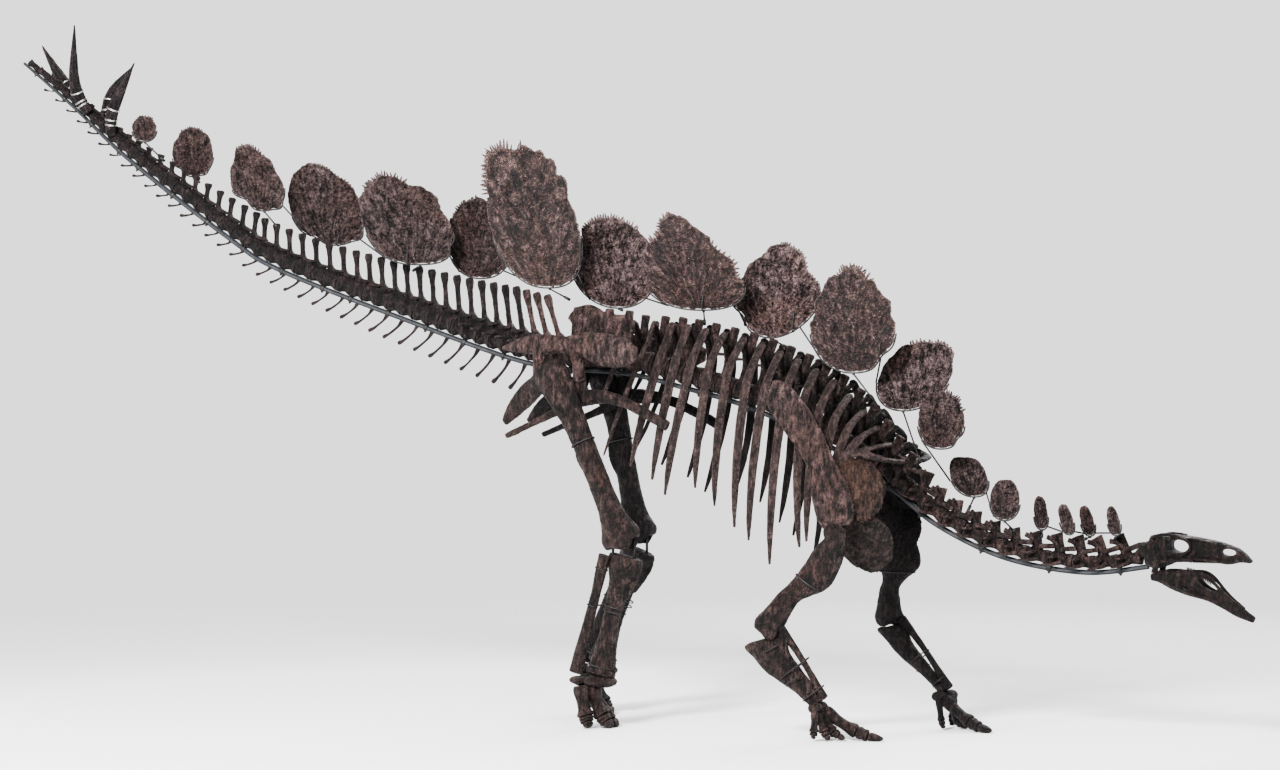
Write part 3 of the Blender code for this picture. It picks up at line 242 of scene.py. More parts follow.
def mesh_of(name: str, shapes: Shapes) -> bpy.types.Mesh:
    """Put closed shapes side by side in one mesh.

    Args:
        name: name of the mesh.
        shapes: the shapes.

    Returns:
        The mesh.
    """
    verts: List[Vector] = []
    faces: List[Tuple[int, ...]] = []
    for corners, sides in shapes:
        start = len(verts)
        verts += corners
        faces += [tuple(start + k for k in face) for face in sides]
    mesh = bpy.data.meshes.new(name)
    mesh.from_pydata(verts, [], faces)
    return mesh


def mark_wear_and_shade(mesh: bpy.types.Mesh, gain: float) -> None:
    """Keep in the mesh how far each corner stands out: 0 in hollows, 1 on edges; it pales worn edges and paints
    shade into hollows.

    Args:
        mesh: a finished mesh.
        gain: how strongly a bend counts.
    """
    count = len(mesh.vertices)
    places = np.empty(count * 3, np.float32)
    normals = np.empty(count * 3, np.float32)
    ends = np.empty(len(mesh.edges) * 2, np.int32)
    mesh.vertices.foreach_get("co", places)
    mesh.vertex_normals.foreach_get("vector", normals)
    mesh.edges.foreach_get("vertices", ends)
    places, normals = places.reshape(-1, 3), normals.reshape(-1, 3)
    a, b = ends.reshape(-1, 2).T
    step = places[b] - places[a]
    reach = np.linalg.norm(step, axis=1) + 1e-9
    near = np.bincount(a, minlength=count) + np.bincount(b, minlength=count) + 1e-9
    bend = (np.bincount(a, -(step * normals[a]).sum(1) / reach, count)
            + np.bincount(b, (step * normals[b]).sum(1) / reach, count)) / near
    for _ in range(2):
        bend = 0.5 * bend + 0.5 * (np.bincount(a, bend[b], count) + np.bincount(b, bend[a], count)) / near
    # One value for both: worn edges are paled with it and painted shade is put into hollows with it.
    wear_and_shade = mesh.attributes.new("wear_and_shade", "FLOAT", "POINT")
    wear_and_shade.data.foreach_set("value", np.clip(0.5 + gain * bend, 0.0, 1.0).astype(np.float32))


@dataclass(frozen=True)
class Relief:
    """How overlapping shapes are worked into one bone.

    Facet is the size of its faces, or 0 to keep the shapes; lumps and grain are two sizes of unevenness.
    """

    facet: float = 0.0045
    smooth: int = 5
    lumps: float = 0.004
    lump_size: float = 0.042
    grain: float = 0.0016
    grain_size: float = 0.011

    def work(self, piece: bpy.types.Object, openings: Shapes = ()) -> None:
        """Blend, open, smooth and roughen a piece.

        Args:
            piece: an object whose mesh holds the overlapping shapes.
            openings: shapes cut out of it.
        """
        cutter = None
        if self.facet:
            self._blend(piece)
        if openings:
            cutter = bpy.data.objects.new("opening", mesh_of("opening", openings))
            bpy.context.scene.collection.objects.link(cutter)
            cut = piece.modifiers.new("cut", "BOOLEAN")
            cut.operation = "DIFFERENCE"
            cut.object = cutter
            cut.solver = "MANIFOLD"
            self._blend(piece)
        if self.smooth:
            smooth = piece.modifiers.new("smooth", "SMOOTH")
            smooth.factor = 0.5
            smooth.iterations = self.smooth
        for size, depth in ((self.lump_size, self.lumps), (self.grain_size, self.grain)):
            rough = piece.modifiers.new("rough", "DISPLACE")
            name = "clouds_%04d" % round(size * 10000)
            rough.texture = bpy.data.textures.get(name)
            if not rough.texture:
                rough.texture = bpy.data.textures.new(name, "CLOUDS")
                rough.texture.noise_scale, rough.texture.noise_depth = size, 3
            rough.strength = depth
            rough.mid_level = 0.5
        view = bpy.context.evaluated_depsgraph_get()
        mesh = bpy.data.meshes.new_from_object(piece.evaluated_get(view))
        piece.modifiers.clear()
        piece.data = mesh
        if cutter:
            bpy.data.objects.remove(cutter)

    def _blend(self, piece: bpy.types.Object) -> None:
        """Add the step that blends shapes into one closed skin."""
        blend = piece.modifiers.new("blend", "REMESH")
        blend.mode = "VOXEL"
        blend.voxel_size = self.facet


LIMB_RELIEF = Relief(0.0056, 4, 0.0048, 0.04, 0.003, 0.012)
GIRDLE_RELIEF = Relief(0.0052, 3, 0.005, 0.04, 0.003, 0.012)
THIN_RELIEF = Relief(0.0038, 4, 0.0034)
SMALL_RELIEF = Relief(0.0034, 4, 0.003, 0.026, 0.0014, 0.008)
FINE_RELIEF = Relief(0.0022, 3, 0.0016, 0.016, 0.0009, 0.006)
RIB_RELIEF = Relief(0.0, 0, 0.004, 0.05, 0.0016, 0.014)
SPIKE_RELIEF = Relief(0.0, 0, 0.004, 0.045, 0.0016, 0.01)


class Graph:
    """A material's nodes, made and linked with short calls."""

    def __init__(self, name: str) -> None:
        """Start a material whose patterns read places on the object."""
        self.material = bpy.data.materials.new(name)
        self.material.use_nodes = True
        self.tree = self.material.node_tree
        self.shader = self.tree.nodes["Principled BSDF"]
        self.place = self.add("ShaderNodeTexCoord").outputs["Object"]

    def add(self, kind: str, inputs: Optional[Dict] = None, **settings: object) -> bpy.types.Node:
        """Add a node.

        Args:
            kind: Blender's name for it.
            inputs: a value or another node's output for each input.
            settings: its own settings.

        Returns:
            The node.
        """
        node = self.tree.nodes.new(kind)
        for key, value in settings.items():
            setattr(node, key, value)
        for key, value in (inputs or {}).items():
            if isinstance(value, Socket):
                self.tree.links.new(value, node.inputs[key])
            else:
                node.inputs[key].default_value = value
        return node

    def noise(self, scale: float, detail: float, rough: float = 0.6, place: Optional[Socket] = None) -> Socket:
        """Cloudy pattern of values near one half."""
        return self.add("ShaderNodeTexNoise", {
            "Vector": place or self.place, "Scale": scale, "Detail": detail, "Roughness": rough}).outputs[0]

    def cells(self, scale: float) -> Socket:
        """Distance to the nearest of many scattered points."""
        return self.add("ShaderNodeTexVoronoi", {"Vector": self.place, "Scale": scale}).outputs["Distance"]

    def cracks(self, scale: float, bend: float) -> Socket:
        """Distance to the nearest of many winding cracks.

        Args:
            scale: how many patches lie between them in a metre.
            bend: how far they wind.

        Returns:
            The distance, small in a crack.
        """
        drift = self.add("ShaderNodeTexNoise", {
            "Vector": self.place, "Scale": 14.0, "Detail": 4.0}).outputs["Color"]
        bent = self.add("ShaderNodeVectorMath", {0: drift, 1: (bend, bend, bend), 2: self.place},
                        operation="MULTIPLY_ADD").outputs[0]
        return self.add("ShaderNodeTexVoronoi", {"Vector": bent, "Scale": scale},
                        feature="DISTANCE_TO_EDGE").outputs["Distance"]

    def stretched(self, scale: Triple) -> Socket:
        """The place on the object, scaled unevenly."""
        return self.add("ShaderNodeMapping", {"Vector": self.place, "Scale": scale}).outputs[0]

    def attribute(self, name: str, output: str) -> Socket:
        """A value kept in the mesh."""
        return self.add("ShaderNodeAttribute", attribute_name=name).outputs[output]

    def fade(self, value: Socket, low: float, high: float, start: float = 0.0, end: float = 1.0) -> Socket:
        """Ease from start, where the value is low, to end, where it is high."""
        return self.add("ShaderNodeMapRange", {
            "Value": value, "From Min": low, "From Max": high, "To Min": start, "To Max": end}).outputs[0]

    def mix(self, share: object, first: object, second: object) -> Socket:
        """Mix two colours.

        Args:
            share: how much of the second, as a number or an output.
            first: first colour or output.
            second: second colour or output.

        Returns:
            The mixed colour.
        """
        inputs = {0: share}
        for key, colour in ((6, first), (7, second)):
            inputs[key] = colour if isinstance(colour, Socket) else (*colour, 1.0)
        return self.add("ShaderNodeMix", inputs, data_type="RGBA").outputs[2]

    def math(self, operation: str, first: object, second: object) -> Socket:
        """One sum or product of two values."""
        return self.add("ShaderNodeMath", {0: first, 1: second}, operation=operation).outputs[0]

    def weigh(self, parts: Sequence[Tuple[Socket, float]]) -> Socket:
        """Add values up by weight.

        Args:
            parts: each value with its weight.

        Returns:
            Their weighted sum.
        """
        total: object = 0.0
        for value, weight in parts:
            total = self.add("ShaderNodeMath", {0: value, 1: weight, 2: total}, operation="MULTIPLY_ADD").outputs[0]
        return total

    def surface(self, colour: Socket, roughness: Socket, height: Socket, depth: float, strength: float) -> None:
        """Feed the shader.

        Args:
            colour: its colour.
            roughness: its roughness.
            height: pattern of its unevenness.
            depth: how deep the unevenness is.
            strength: how much of it shows.
        """
        bump = self.add("ShaderNodeBump", {"Height": height, "Distance": depth, "Strength": strength})
        self.tree.links.new(colour, self.shader.inputs["Base Color"])
        self.tree.links.new(roughness, self.shader.inputs["Roughness"])
        self.tree.links.new(bump.outputs[0], self.shader.inputs["Normal"])


@dataclass(frozen=True)
class BoneFinish:
    """Old mineral-stained bone: mottled and pitted, with painted shade darkening its hollows and paler worn edges.
    """

    name: str
    slot: str
    deep: Colour
    middle: Colour
    light: Colour
    rust: Colour
    rusty: float = 0.5
    smoothest: float = 0.36
    roughest: float = 0.72
    streaks: Triple = (1.0, 1.0, 0.35)
    veined: bool = False
    gloss: float = 0.34
    relief: float = 0.03
    cracked: float = 0.22

    def make(self) -> bpy.types.Material:
        """Build the material.

        Returns:
            The material.
        """
        g = Graph(self.name)
        broad = g.noise(3.2, 3.0)
        mottle = g.noise(24.0, 5.0, 0.68)
        speck = g.noise(85.0, 5.0, 0.7, g.stretched(self.streaks))
        grit = g.noise(330.0, 3.0, 0.7)
        if self.veined:
            veins = g.noise(1.6, 6.0, 0.72, g.attribute("grain", "Vector"))
        else:
            veins = g.noise(44.0, 5.0, 0.72, g.stretched(self.streaks))
        cracks = g.cracks(30.0, 0.03)
        pits = g.cells(105.0)
        tone = g.weigh([(mottle, 0.24), (speck, 0.38), (veins, 0.38)])
        colour = g.mix(g.fade(tone, 0.445, 0.505), self.deep, self.middle)
        colour = g.mix(g.fade(tone, 0.51, 0.6), colour, self.light)
        patches = g.math("MULTIPLY", g.fade(broad, 0.46, 0.64, 0.0, self.rusty), g.fade(speck, 0.42, 0.56))
        colour = g.mix(patches, colour, self.rust)
        wear_and_shade = g.attribute("wear_and_shade", "Fac")
        worn = g.math("MULTIPLY", g.fade(wear_and_shade, 0.58, 0.84, 0.0, 0.8), g.fade(grit, 0.36, 0.56))
        colour = g.mix(worn, colour, self.light)
        # Painted shade: hollows darken towards the deep colour.
        colour = g.mix(g.fade(wear_and_shade, 0.49, 0.28, 0.0, 1.0), colour, self.deep)
        colour = g.mix(g.fade(cracks, 0.03, 0.0, 0.0, self.cracked), colour, self.deep)
        colour = g.mix(g.fade(pits, 0.32, 0.12, 0.0, 0.8), colour, self.deep)
        shine = g.weigh([(mottle, 0.45), (speck, 0.55)])
        rough = g.fade(shine, 0.42, 0.58, self.roughest, self.smoothest)
        height = g.weigh([
            (mottle, 0.95), (speck, 0.6), (veins, 0.75 if self.veined else 0.45), (grit, 0.12),
            (g.fade(cracks, 0.0, 0.07), 0.4 * self.cracked), (g.fade(pits, 0.0, 0.34), 0.12)])
        g.shader.inputs["Specular IOR Level"].default_value = self.gloss
        g.surface(colour, rough, height, self.relief, 1.0)
        return g.material


@dataclass(frozen=True)
class MetalFinish:
    """Painted or bare steel with brushed streaks, scuffs and dust."""

    name: str
    slot: str
    paint: Colour
    scuff: Colour
    metallic: float
    smoothest: float = 0.28
    roughest: float = 0.55

    def make(self) -> bpy.types.Material:
        """Build the material.

        Returns:
            The material.
        """
        g = Graph(self.name)
        blotch = g.noise(30.0, 5.0)
        brush = g.noise(420.0, 4.0, 0.7)
        wear_and_shade = g.attribute("wear_and_shade", "Fac")
        scuffed = g.math("MULTIPLY", g.fade(wear_and_shade, 0.55, 0.8), g.fade(brush, 0.4, 0.62))
        scuffed = g.math("MAXIMUM", scuffed, g.fade(blotch, 0.6, 0.7, 0.0, 0.5))
        colour = g.mix(scuffed, self.paint, self.scuff)
        rough = g.fade(blotch, 0.35, 0.65, self.smoothest, self.roughest)
        g.shader.inputs["Metallic"].default_value = self.metallic
        g.surface(colour, rough, g.weigh([(blotch, 0.5), (brush, 0.5)]), 0.0012, 0.5)
        return g.material


Finish = Union[BoneFinish, MetalFinish]

TAIL_BONE = BoneFinish(
    "tail_bone", "bone_dark", (0.0012, 0.0008, 0.001), (0.0099, 0.0065, 0.007), (0.0482, 0.0324, 0.0325),
    (0.0257, 0.012, 0.0095), 0.25)
SPINE_BONE = BoneFinish(
    "spine_bone", "bone_dark", (0.0018, 0.0011, 0.001), (0.018, 0.0109, 0.0103), (0.0867, 0.0557, 0.0516),
    (0.0504, 0.0223, 0.0163), 0.35)
RIB_BONE = BoneFinish(
    "rib_bone", "bone_dark", (0.0022, 0.0014, 0.0013), (0.0225, 0.0145, 0.0135), (0.0827, 0.0552, 0.0518),
    (0.045, 0.0223, 0.0177), 0.25)
HIP_BONE = BoneFinish(
    "hip_bone", "bone_brown", (0.003, 0.0018, 0.0017), (0.0353, 0.0215, 0.02), (0.1187, 0.0771, 0.0724),
    (0.0636, 0.0295, 0.0224), 0.35)
CORACOID_BONE = BoneFinish(
    "coracoid_bone", "bone_brown", (0.0022, 0.0013, 0.0011), (0.0269, 0.0148, 0.0113), (0.0813, 0.049, 0.0388),
    (0.0578, 0.0242, 0.0149), 0.5)
LIMB_BONE = BoneFinish(
    "limb_bone", "bone_dark", (0.0016, 0.001, 0.0009), (0.0174, 0.0105, 0.0097), (0.0736, 0.0462, 0.0419),
    (0.0432, 0.0196, 0.0145), 0.35)
# Painted shade: a darker copy of the bone finishes, used on the far side of the animal, which lies in shade.
SHADED_FAR_BONE = BoneFinish(
    "shaded_far_limb_bone", "bone_dark", (0.0009, 0.0007, 0.0008), (0.0072, 0.0048, 0.005), (0.0352, 0.0242, 0.024),
    (0.0185, 0.0089, 0.0071), 0.25)
SKULL_BONE = BoneFinish(
    "skull_bone", "bone_brown", (0.0011, 0.0007, 0.0006), (0.0098, 0.0059, 0.0057), (0.0477, 0.0301, 0.028),
    (0.0241, 0.0114, 0.009), 0.3, 0.3, 0.6)
PLATE_DULL = BoneFinish(
    "plate_dull", "plate_bone", (0.0043, 0.003, 0.003), (0.0535, 0.0374, 0.0363), (0.1524, 0.1122, 0.1097),
    (0.1069, 0.0543, 0.043), 0.35, 0.52, 0.8, (1.0, 1.0, 1.0), True, 0.26, 0.045, 0.55)
# Painted light: a lighter copy of the dull plate finish for the plates that lie in shade.
PLATE_PAINTED_LIGHT = replace(
    PLATE_DULL, name="plate_warm", deep=(0.007, 0.0049, 0.0049), middle=(0.0867, 0.0606, 0.0588),
    light=(0.2469, 0.1818, 0.1777), rust=(0.1732, 0.088, 0.0697))
PLATE_SHINY = BoneFinish(
    "plate_shiny", "plate_bone", (0.004, 0.0025, 0.0024), (0.0519, 0.0321, 0.03), (0.2043, 0.1386, 0.1299),
    (0.0982, 0.0463, 0.0353), 0.3, 0.2, 0.5, (1.0, 1.0, 1.0), True, 0.75, 0.05, 0.45)
ROD_STEEL = MetalFinish(
    "rod_steel_finish", "rod_steel", (0.006, 0.007, 0.009), (0.03, 0.032, 0.036), 0.3, 0.45, 0.7)
WIRE_BLACK = MetalFinish(
    "wire_black_finish", "wire_black", (0.003, 0.003, 0.0034), (0.016, 0.015, 0.015), 0.0, 0.55, 0.8)
PALE_WIRE = MetalFinish("pale_wire_finish", "rod_steel", (0.3, 0.295, 0.28), (0.5, 0.49, 0.47), 0.9)


@dataclass
class Backbone:
    """The curve of the steel rod, with places along it measured by length from the tail tip."""

    route: Table = (
        (-2.8, 2.815), (-2.54, 2.614), (-2.24, 2.366), (-1.73, 2.014), (-1.48, 1.875), (-0.89, 1.665),
        (-0.28, 1.471), (0.16, 1.428), (0.42, 1.371), (0.71, 1.292), (1.02, 1.16), (1.33, 0.969),
        (1.52, 0.829), (1.8, 0.707), (2.12, 0.658), (2.375, 0.686))
    radius: float = 0.0105
    tip_radius: float = 0.006
    taper: float = 0.9
    spine_tops: Table = (
        (-2.8, 0.03), (-2.35, 0.08), (-2.2, 0.1), (-2.0, 0.128), (-1.6, 0.173), (-1.25, 0.193),
        (-0.9, 0.221), (-0.6, 0.257), (-0.3, 0.298), (-0.1, 0.3), (0.24, 0.25), (0.43, 0.285),
        (0.75, 0.295), (0.91, 0.295), (1.02, 0.285), (1.13, 0.258), (1.2, 0.23), (1.3, 0.19),
        (1.4, 0.15), (1.5, 0.133), (1.6, 0.127), (1.8, 0.118), (2.05, 0.14), (2.3, 0.135), (2.36, 0.12))
    centrum_radii: Table = (
        (-2.8, 0.011), (-2.5, 0.022), (-2.35, 0.029), (-1.7, 0.033), (-1.1, 0.038), (-0.4, 0.048),
        (0.0, 0.052), (0.6, 0.042), (1.2, 0.038), (1.5, 0.033), (2.0, 0.029), (2.37, 0.026))
    region_ends: Row = (-2.2, -1.13, -0.085, 0.195, 1.375, 2.352)
    region_bones: Tuple[int, ...] = (12, 17, 17, 4, 17, 11)
    first_bone: float = 0.02

    def __post_init__(self) -> None:
        """Work out the smooth curve and its lengths."""
        self.points = [Vector((x, 0.0, z)) for x, z in spline(self.route, 40 * (len(self.route) - 1))]
        last = len(self.points) - 1
        self.headings = [(self.points[min(k + 1, last)] - self.points[max(k - 1, 0)]).normalized()
                         for k in range(last + 1)]
        self.lengths = [0.0]
        for a, b in zip(self.points, self.points[1:]):
            self.lengths.append(self.lengths[-1] + (b - a).length)

    def frame(self, length: float) -> Tuple[Vector, Vector, Vector]:
        """Find a place on the rod.

        Args:
            length: length from the tail tip.

        Returns:
            The point, the direction to the head and the direction up from the rod.
        """
        index = min(max(bisect.bisect_right(self.lengths, length) - 1, 0), len(self.points) - 2)
        share = (length - self.lengths[index]) / (self.lengths[index + 1] - self.lengths[index])
        forward = self.headings[index].lerp(self.headings[index + 1], share).normalized()
        point = self.points[index].lerp(self.points[index + 1], share)
        return point, forward, Vector((-forward.z, 0.0, forward.x))

    def at_x(self, x: float) -> float:
        """Length from the tail tip at a place along x."""
        return self.lengths[min(bisect.bisect_left([point.x for point in self.points], x), len(self.points) - 1)]

    def along(self, length: float, side: float, height: float, ahead: float = 0.0) -> Vector:
        """Place by the backbone: length from the tail tip, distance from the mid plane, height and step ahead."""
        point, forward, up = self.frame(length)
        return point + up * height + forward * ahead + AXIS_Y * side

    def rod_radius(self, length: float) -> float:
        """Half the thickness of the rod, which tapers towards the tail tip."""
        return self.tip_radius + (self.radius - self.tip_radius) * min(length / self.taper, 1.0)

    def stretches(self) -> List[List[float]]:
        """Ends of every vertebra from the tail tip, one list for each region."""
        ends = [self.first_bone] + [self.at_x(x) for x in self.region_ends]
        return [[start + (end - start) * step / count for step in range(count + 1)]
                for start, end, count in zip(ends, ends[1:], self.region_bones)]


BACK = Backbone()


@dataclass
class Mount:
    """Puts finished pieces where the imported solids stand."""

    shift: Vector
    pieces: int = 0
    wear_and_shade_gain: float = 1.6

    @classmethod
    def from_rod(cls, node: str) -> "Mount":
        """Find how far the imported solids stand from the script's own middle.

        Args:
            node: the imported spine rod.

        Returns:
            A mount that moves pieces by that much.
        """
        low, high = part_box(node)
        tip = BACK.points[-1].x + BACK.radius * abs(BACK.headings[-1].z)
        return cls(Vector((high[0] - tip, (low[1] + high[1]) / 2.0, 0.0)))

    def add(self, name: str, shapes: Shapes, finish: Finish, nodes: Sequence[str],
            relief: Optional[Relief] = None, openings: Shapes = (), on_floor: bool = False,
            grain: Optional[np.ndarray] = None) -> bpy.types.Object:
        """Make one piece.

        Args:
            name: its name.
            shapes: closed shapes, which may overlap.
            finish: its finish.
            nodes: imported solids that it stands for.
            relief: how it is worked, or nothing for a plain piece.
            openings: shapes cut out of it.
            on_floor: true where no point may lie below the floor.
            grain: a place in the pattern of veins for each corner.

        Returns:
            The piece.
        """
        mesh = mesh_of(name, shapes)
        mesh.transform(Matrix.Translation(self.shift))
        piece = bpy.data.objects.new(name, mesh)
        bpy.context.scene.collection.objects.link(piece)
        if relief:
            cuts = [([corner + self.shift for corner in corners], faces) for corners, faces in openings]
            relief.work(piece, cuts)
        mesh = piece.data
        if on_floor:
            for vert in mesh.vertices:
                vert.co.z = max(vert.co.z, GAP)
        if grain is not None:
            mesh.attributes.new("grain", "FLOAT_VECTOR", "POINT").data.foreach_set("vector", grain.ravel())
        mark_wear_and_shade(mesh, self.wear_and_shade_gain)
        mesh.shade_smooth()
        mesh.materials.clear()
        mesh.materials.append(bpy.data.materials.get(finish.name) or finish.make())
        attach(piece, "root")
        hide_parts(*nodes)
        self.pieces += 1
        log.info("%s: %d faces", name, len(mesh.polygons))
        return piece


@dataclass
class Assembly:
    """A group of pieces with the mount that they go on."""

    mount: Mount


@dataclass
class SideAssembly(Assembly):
    """A group of pieces of one side of the animal."""

    side: Side

    def __post_init__(self) -> None:
        """Read the word, the sign of y and the bone finish of the side, a darker copy painting shade on the far
        side.
        """
        self.word, self.sign = self.side.value
        self.finish = self.side.pick(LIMB_BONE)

    def put(self, name: str, shapes: Shapes, finish: Finish, node: str, relief: Optional[Relief] = None,
            openings: Shapes = (), on_floor: bool = False) -> None:
        """Make a piece of this side: its name has %s where the word goes, and its node lacks the word."""
        self.mount.add(name % self.word, shapes, finish, [node + "_" + self.word], relief, openings, on_floor)


@dataclass
class Vertebra:
    """One vertebra on the rod, between two lengths from the tail tip."""

    start: float
    end: float
    gap: float = 0.0022
    rims: Table = (
        (0.0, 0.82), (0.05, 1.0), (0.14, 0.97), (0.3, 0.45), (0.5, 0.0), (0.7, 0.45), (0.86, 0.97), (0.95, 1.0),
        (1.0, 0.82))

    def __post_init__(self) -> None:
        """Read its sizes from the backbone."""
        self.middle = (self.start + self.end) / 2.0
        self.length = self.end - self.start
        self.quarter = self.length / 4.0
        self.x = BACK.frame(self.middle)[0].x
        self.radius = between(BACK.centrum_radii, self.x)
        self.top = between(BACK.spine_tops, self.x)
        self.floor = BACK.rod_radius(self.middle)

    def at(self, ahead: float, side: float, height: float) -> Vector:
        """Place by the vertebra: step to the head, distance from the mid plane, height over the rod."""
        return BACK.along(self.middle, side, height, ahead)

    def relief(self) -> Relief:
        """Working of a small or a large vertebra."""
        facet = min(max(self.radius * 0.095, 0.003), 0.0044)
        return Relief(facet, 3, self.radius * 0.08, self.radius * 0.7, self.radius * 0.035, self.radius * 0.22)

    def spool(self, waist: float) -> Shape:
        """Make the body of the vertebra, with a raised rim at each end.

        Args:
            waist: how thick its middle is against its rims.

        Returns:
            A closed shape.
        """
        rings = []
        for share, bulge in spline(self.rims, 20):
            length = self.start + self.gap / 2.0 + (self.length - self.gap) * share
            point, forward, up = BACK.frame(length)
            wide = self.radius * (waist + (1.0 - waist) * bulge)
            deep = self.radius * (0.35 + 0.65 * waist + 0.65 * (1.0 - waist) * bulge)
            height = self.floor + GAP + self.radius * (1.0 + 0.08 * (1.0 - bulge))
            rings.append(section(point + up * height, forward, AXIS_Y, wide, deep, 20))
        return skin(rings)

    def rise(self, rows: Sequence[Row], sides: int, steps: int) -> Shape:
        """Make an upright part: rows of step ahead, height, half width across, half width fore and aft."""
        return loft([(*self.at(ahead, 0.0, height), across, fore) for ahead, height, across, fore in rows],
                    sides, steps)

    def horn(self, sign: float, rows: Sequence[Row], across: Vector = AXIS_X) -> Shape:
        """Make a part on one side: rows of step ahead, distance out, height and two half widths."""
        return loft([(*self.at(ahead, sign * out, height), wide, deep) for ahead, out, height, wide, deep in rows],
                    10, 3 * (len(rows) - 1), across)

    def joints(self, height: float, out: float, thick: float) -> Shapes:
        """Make the small prongs that reach to the next vertebrae.

        Args:
            height: where they leave the arch.
            out: their distance from the mid plane.
            thick: half their thickness.

        Returns:
            Two prongs ahead and two behind.
        """
        shapes = []
        for sign in BOTH:
            shapes.append(self.horn(sign, [
                (-self.quarter, out * 0.6, height, thick, thick * 1.3),
                (0.3 * self.length, out, height + thick, thick * 0.9, thick),
                (0.6 * self.length, out * 1.15, height + 2.2 * thick, thick * 0.5, thick * 0.7)], AXIS_Y))
            shapes.append(self.horn(sign, [
                (-self.quarter, out * 0.4, height + thick, thick, thick * 1.2),
                (-0.5 * self.length, out * 0.6, height + 3.0 * thick, thick * 0.6, thick * 0.8)], AXIS_Y))
        return shapes


@dataclass
class Tail(Assembly):
    """The bones of the tail, with the thin bones that hang below the rod."""

    waist: float = 0.74
    lean: float = 0.42
    wings_x: float = -0.6
    brown_x: float = -0.28
    wing_reach: Table = ((-0.6, 0.055), (-0.1, 0.095))
    chevrons: int = 36
    chevrons_x: Tuple[float, float] = (-2.64, -0.3)
    drops: Table = ((0.0, 0.024), (0.5, 0.05), (0.77, 0.094), (1.0, 0.112))
    reaches: Table = ((0.0, 0.046), (0.5, 0.054), (0.77, 0.066), (1.0, 0.05))

    def build(self) -> None:
        """Make every vertebra and chevron of the tail."""
        number = 0
        for region, stops in zip(("tail_tip", "tail_middle", "tail_base"), BACK.stretches()):
            for start, end in zip(stops, stops[1:]):
                number += 1
                bone = Vertebra(start, end)
                finish = HIP_BONE if bone.x > self.brown_x else TAIL_BONE
                self.mount.add("tail_bone_%02d" % number, self.vertebra(bone), finish, [region], bone.relief())
        start, end = (BACK.at_x(x) for x in self.chevrons_x)
        for index in range(self.chevrons):
            share = index / (self.chevrons - 1)
            bone = self.chevron(start + (end - start) * share, share)
            self.mount.add("chevron_%02d" % (index + 1), bone, TAIL_BONE, ["spine_rod"], RIB_RELIEF)

    def vertebra(self, bone: Vertebra) -> Shapes:
        """Shape one tail vertebra.

        Args:
            bone: its stretch of the rod.

        Returns:
            Its overlapping shapes.
        """
        shapes = [bone.spool(self.waist)]
        radius, quarter = bone.radius, bone.quarter
        low = bone.floor + 1.45 * radius
        if bone.top > low + 0.02:
            tall = bone.top - low
            wide = min(0.0105, 0.34 * radius)
            rows = []
            size = min(bone.length / 0.062, 1.0)
            for share, across, fore in ((0.0, 1.5 * wide, 0.021), (0.14, 1.0 * wide, 0.0165), (0.4, 0.007, 0.0125),
                                        (0.72, 0.0076, 0.0135), (0.9, 0.012, 0.0195), (1.0, 0.0095, 0.0165)):
                rows.append((-quarter - self.lean * tall * share, low + tall * share, across, fore * size))
            shapes.append(bone.rise(rows, 12, 15))
        shapes += bone.joints(bone.floor + 2.1 * radius, 0.3 * radius, 0.17 * radius)
        if bone.x > self.wings_x:
            reach = radius + between(self.wing_reach, bone.x)
            height = bone.floor + radius * 1.38
            for sign in BOTH:
                shapes.append(bone.horn(sign, [
                    (-quarter, 0.4 * radius, height, 0.016, 0.013),
                    (-quarter - 0.005, 0.55 * reach, height + 0.004, 0.011, 0.008),
                    (-quarter - 0.012, reach, height + 0.004, 0.01, 0.0065)]))
        return shapes

    def chevron(self, length: float, share: float) -> Shapes:
        """Shape one chevron, thin and level near the tip, long and steep near the hips.

        Args:
            length: where it hangs, from the tail tip.
            share: 0 for the first chevron and 1 for the last.

        Returns:
            Its shapes.
        """
        radius = BACK.rod_radius(length)
        drop, back = between(self.drops, share), between(self.reaches, share)
        thick = 0.0042 + 0.003 * share
        flat = 0.0034 + 0.0016 * share
        rows = []
        for way, size in ((0.0, 1.35), (0.12, 1.25), (0.35, 0.75), (0.75, 0.8), (0.93, 1.3), (1.0, 1.0)):
            bow = 0.18 * back * math.sin(math.pi * way)
            place = BACK.along(length, 0.0, -0.5 * radius - (0.5 * radius + drop) * way, -back * way + bow)
            rows.append((*place, flat * (1.0 if way > 0.1 else 1.9), thick * size))
        return [loft(rows, 10, 15)]


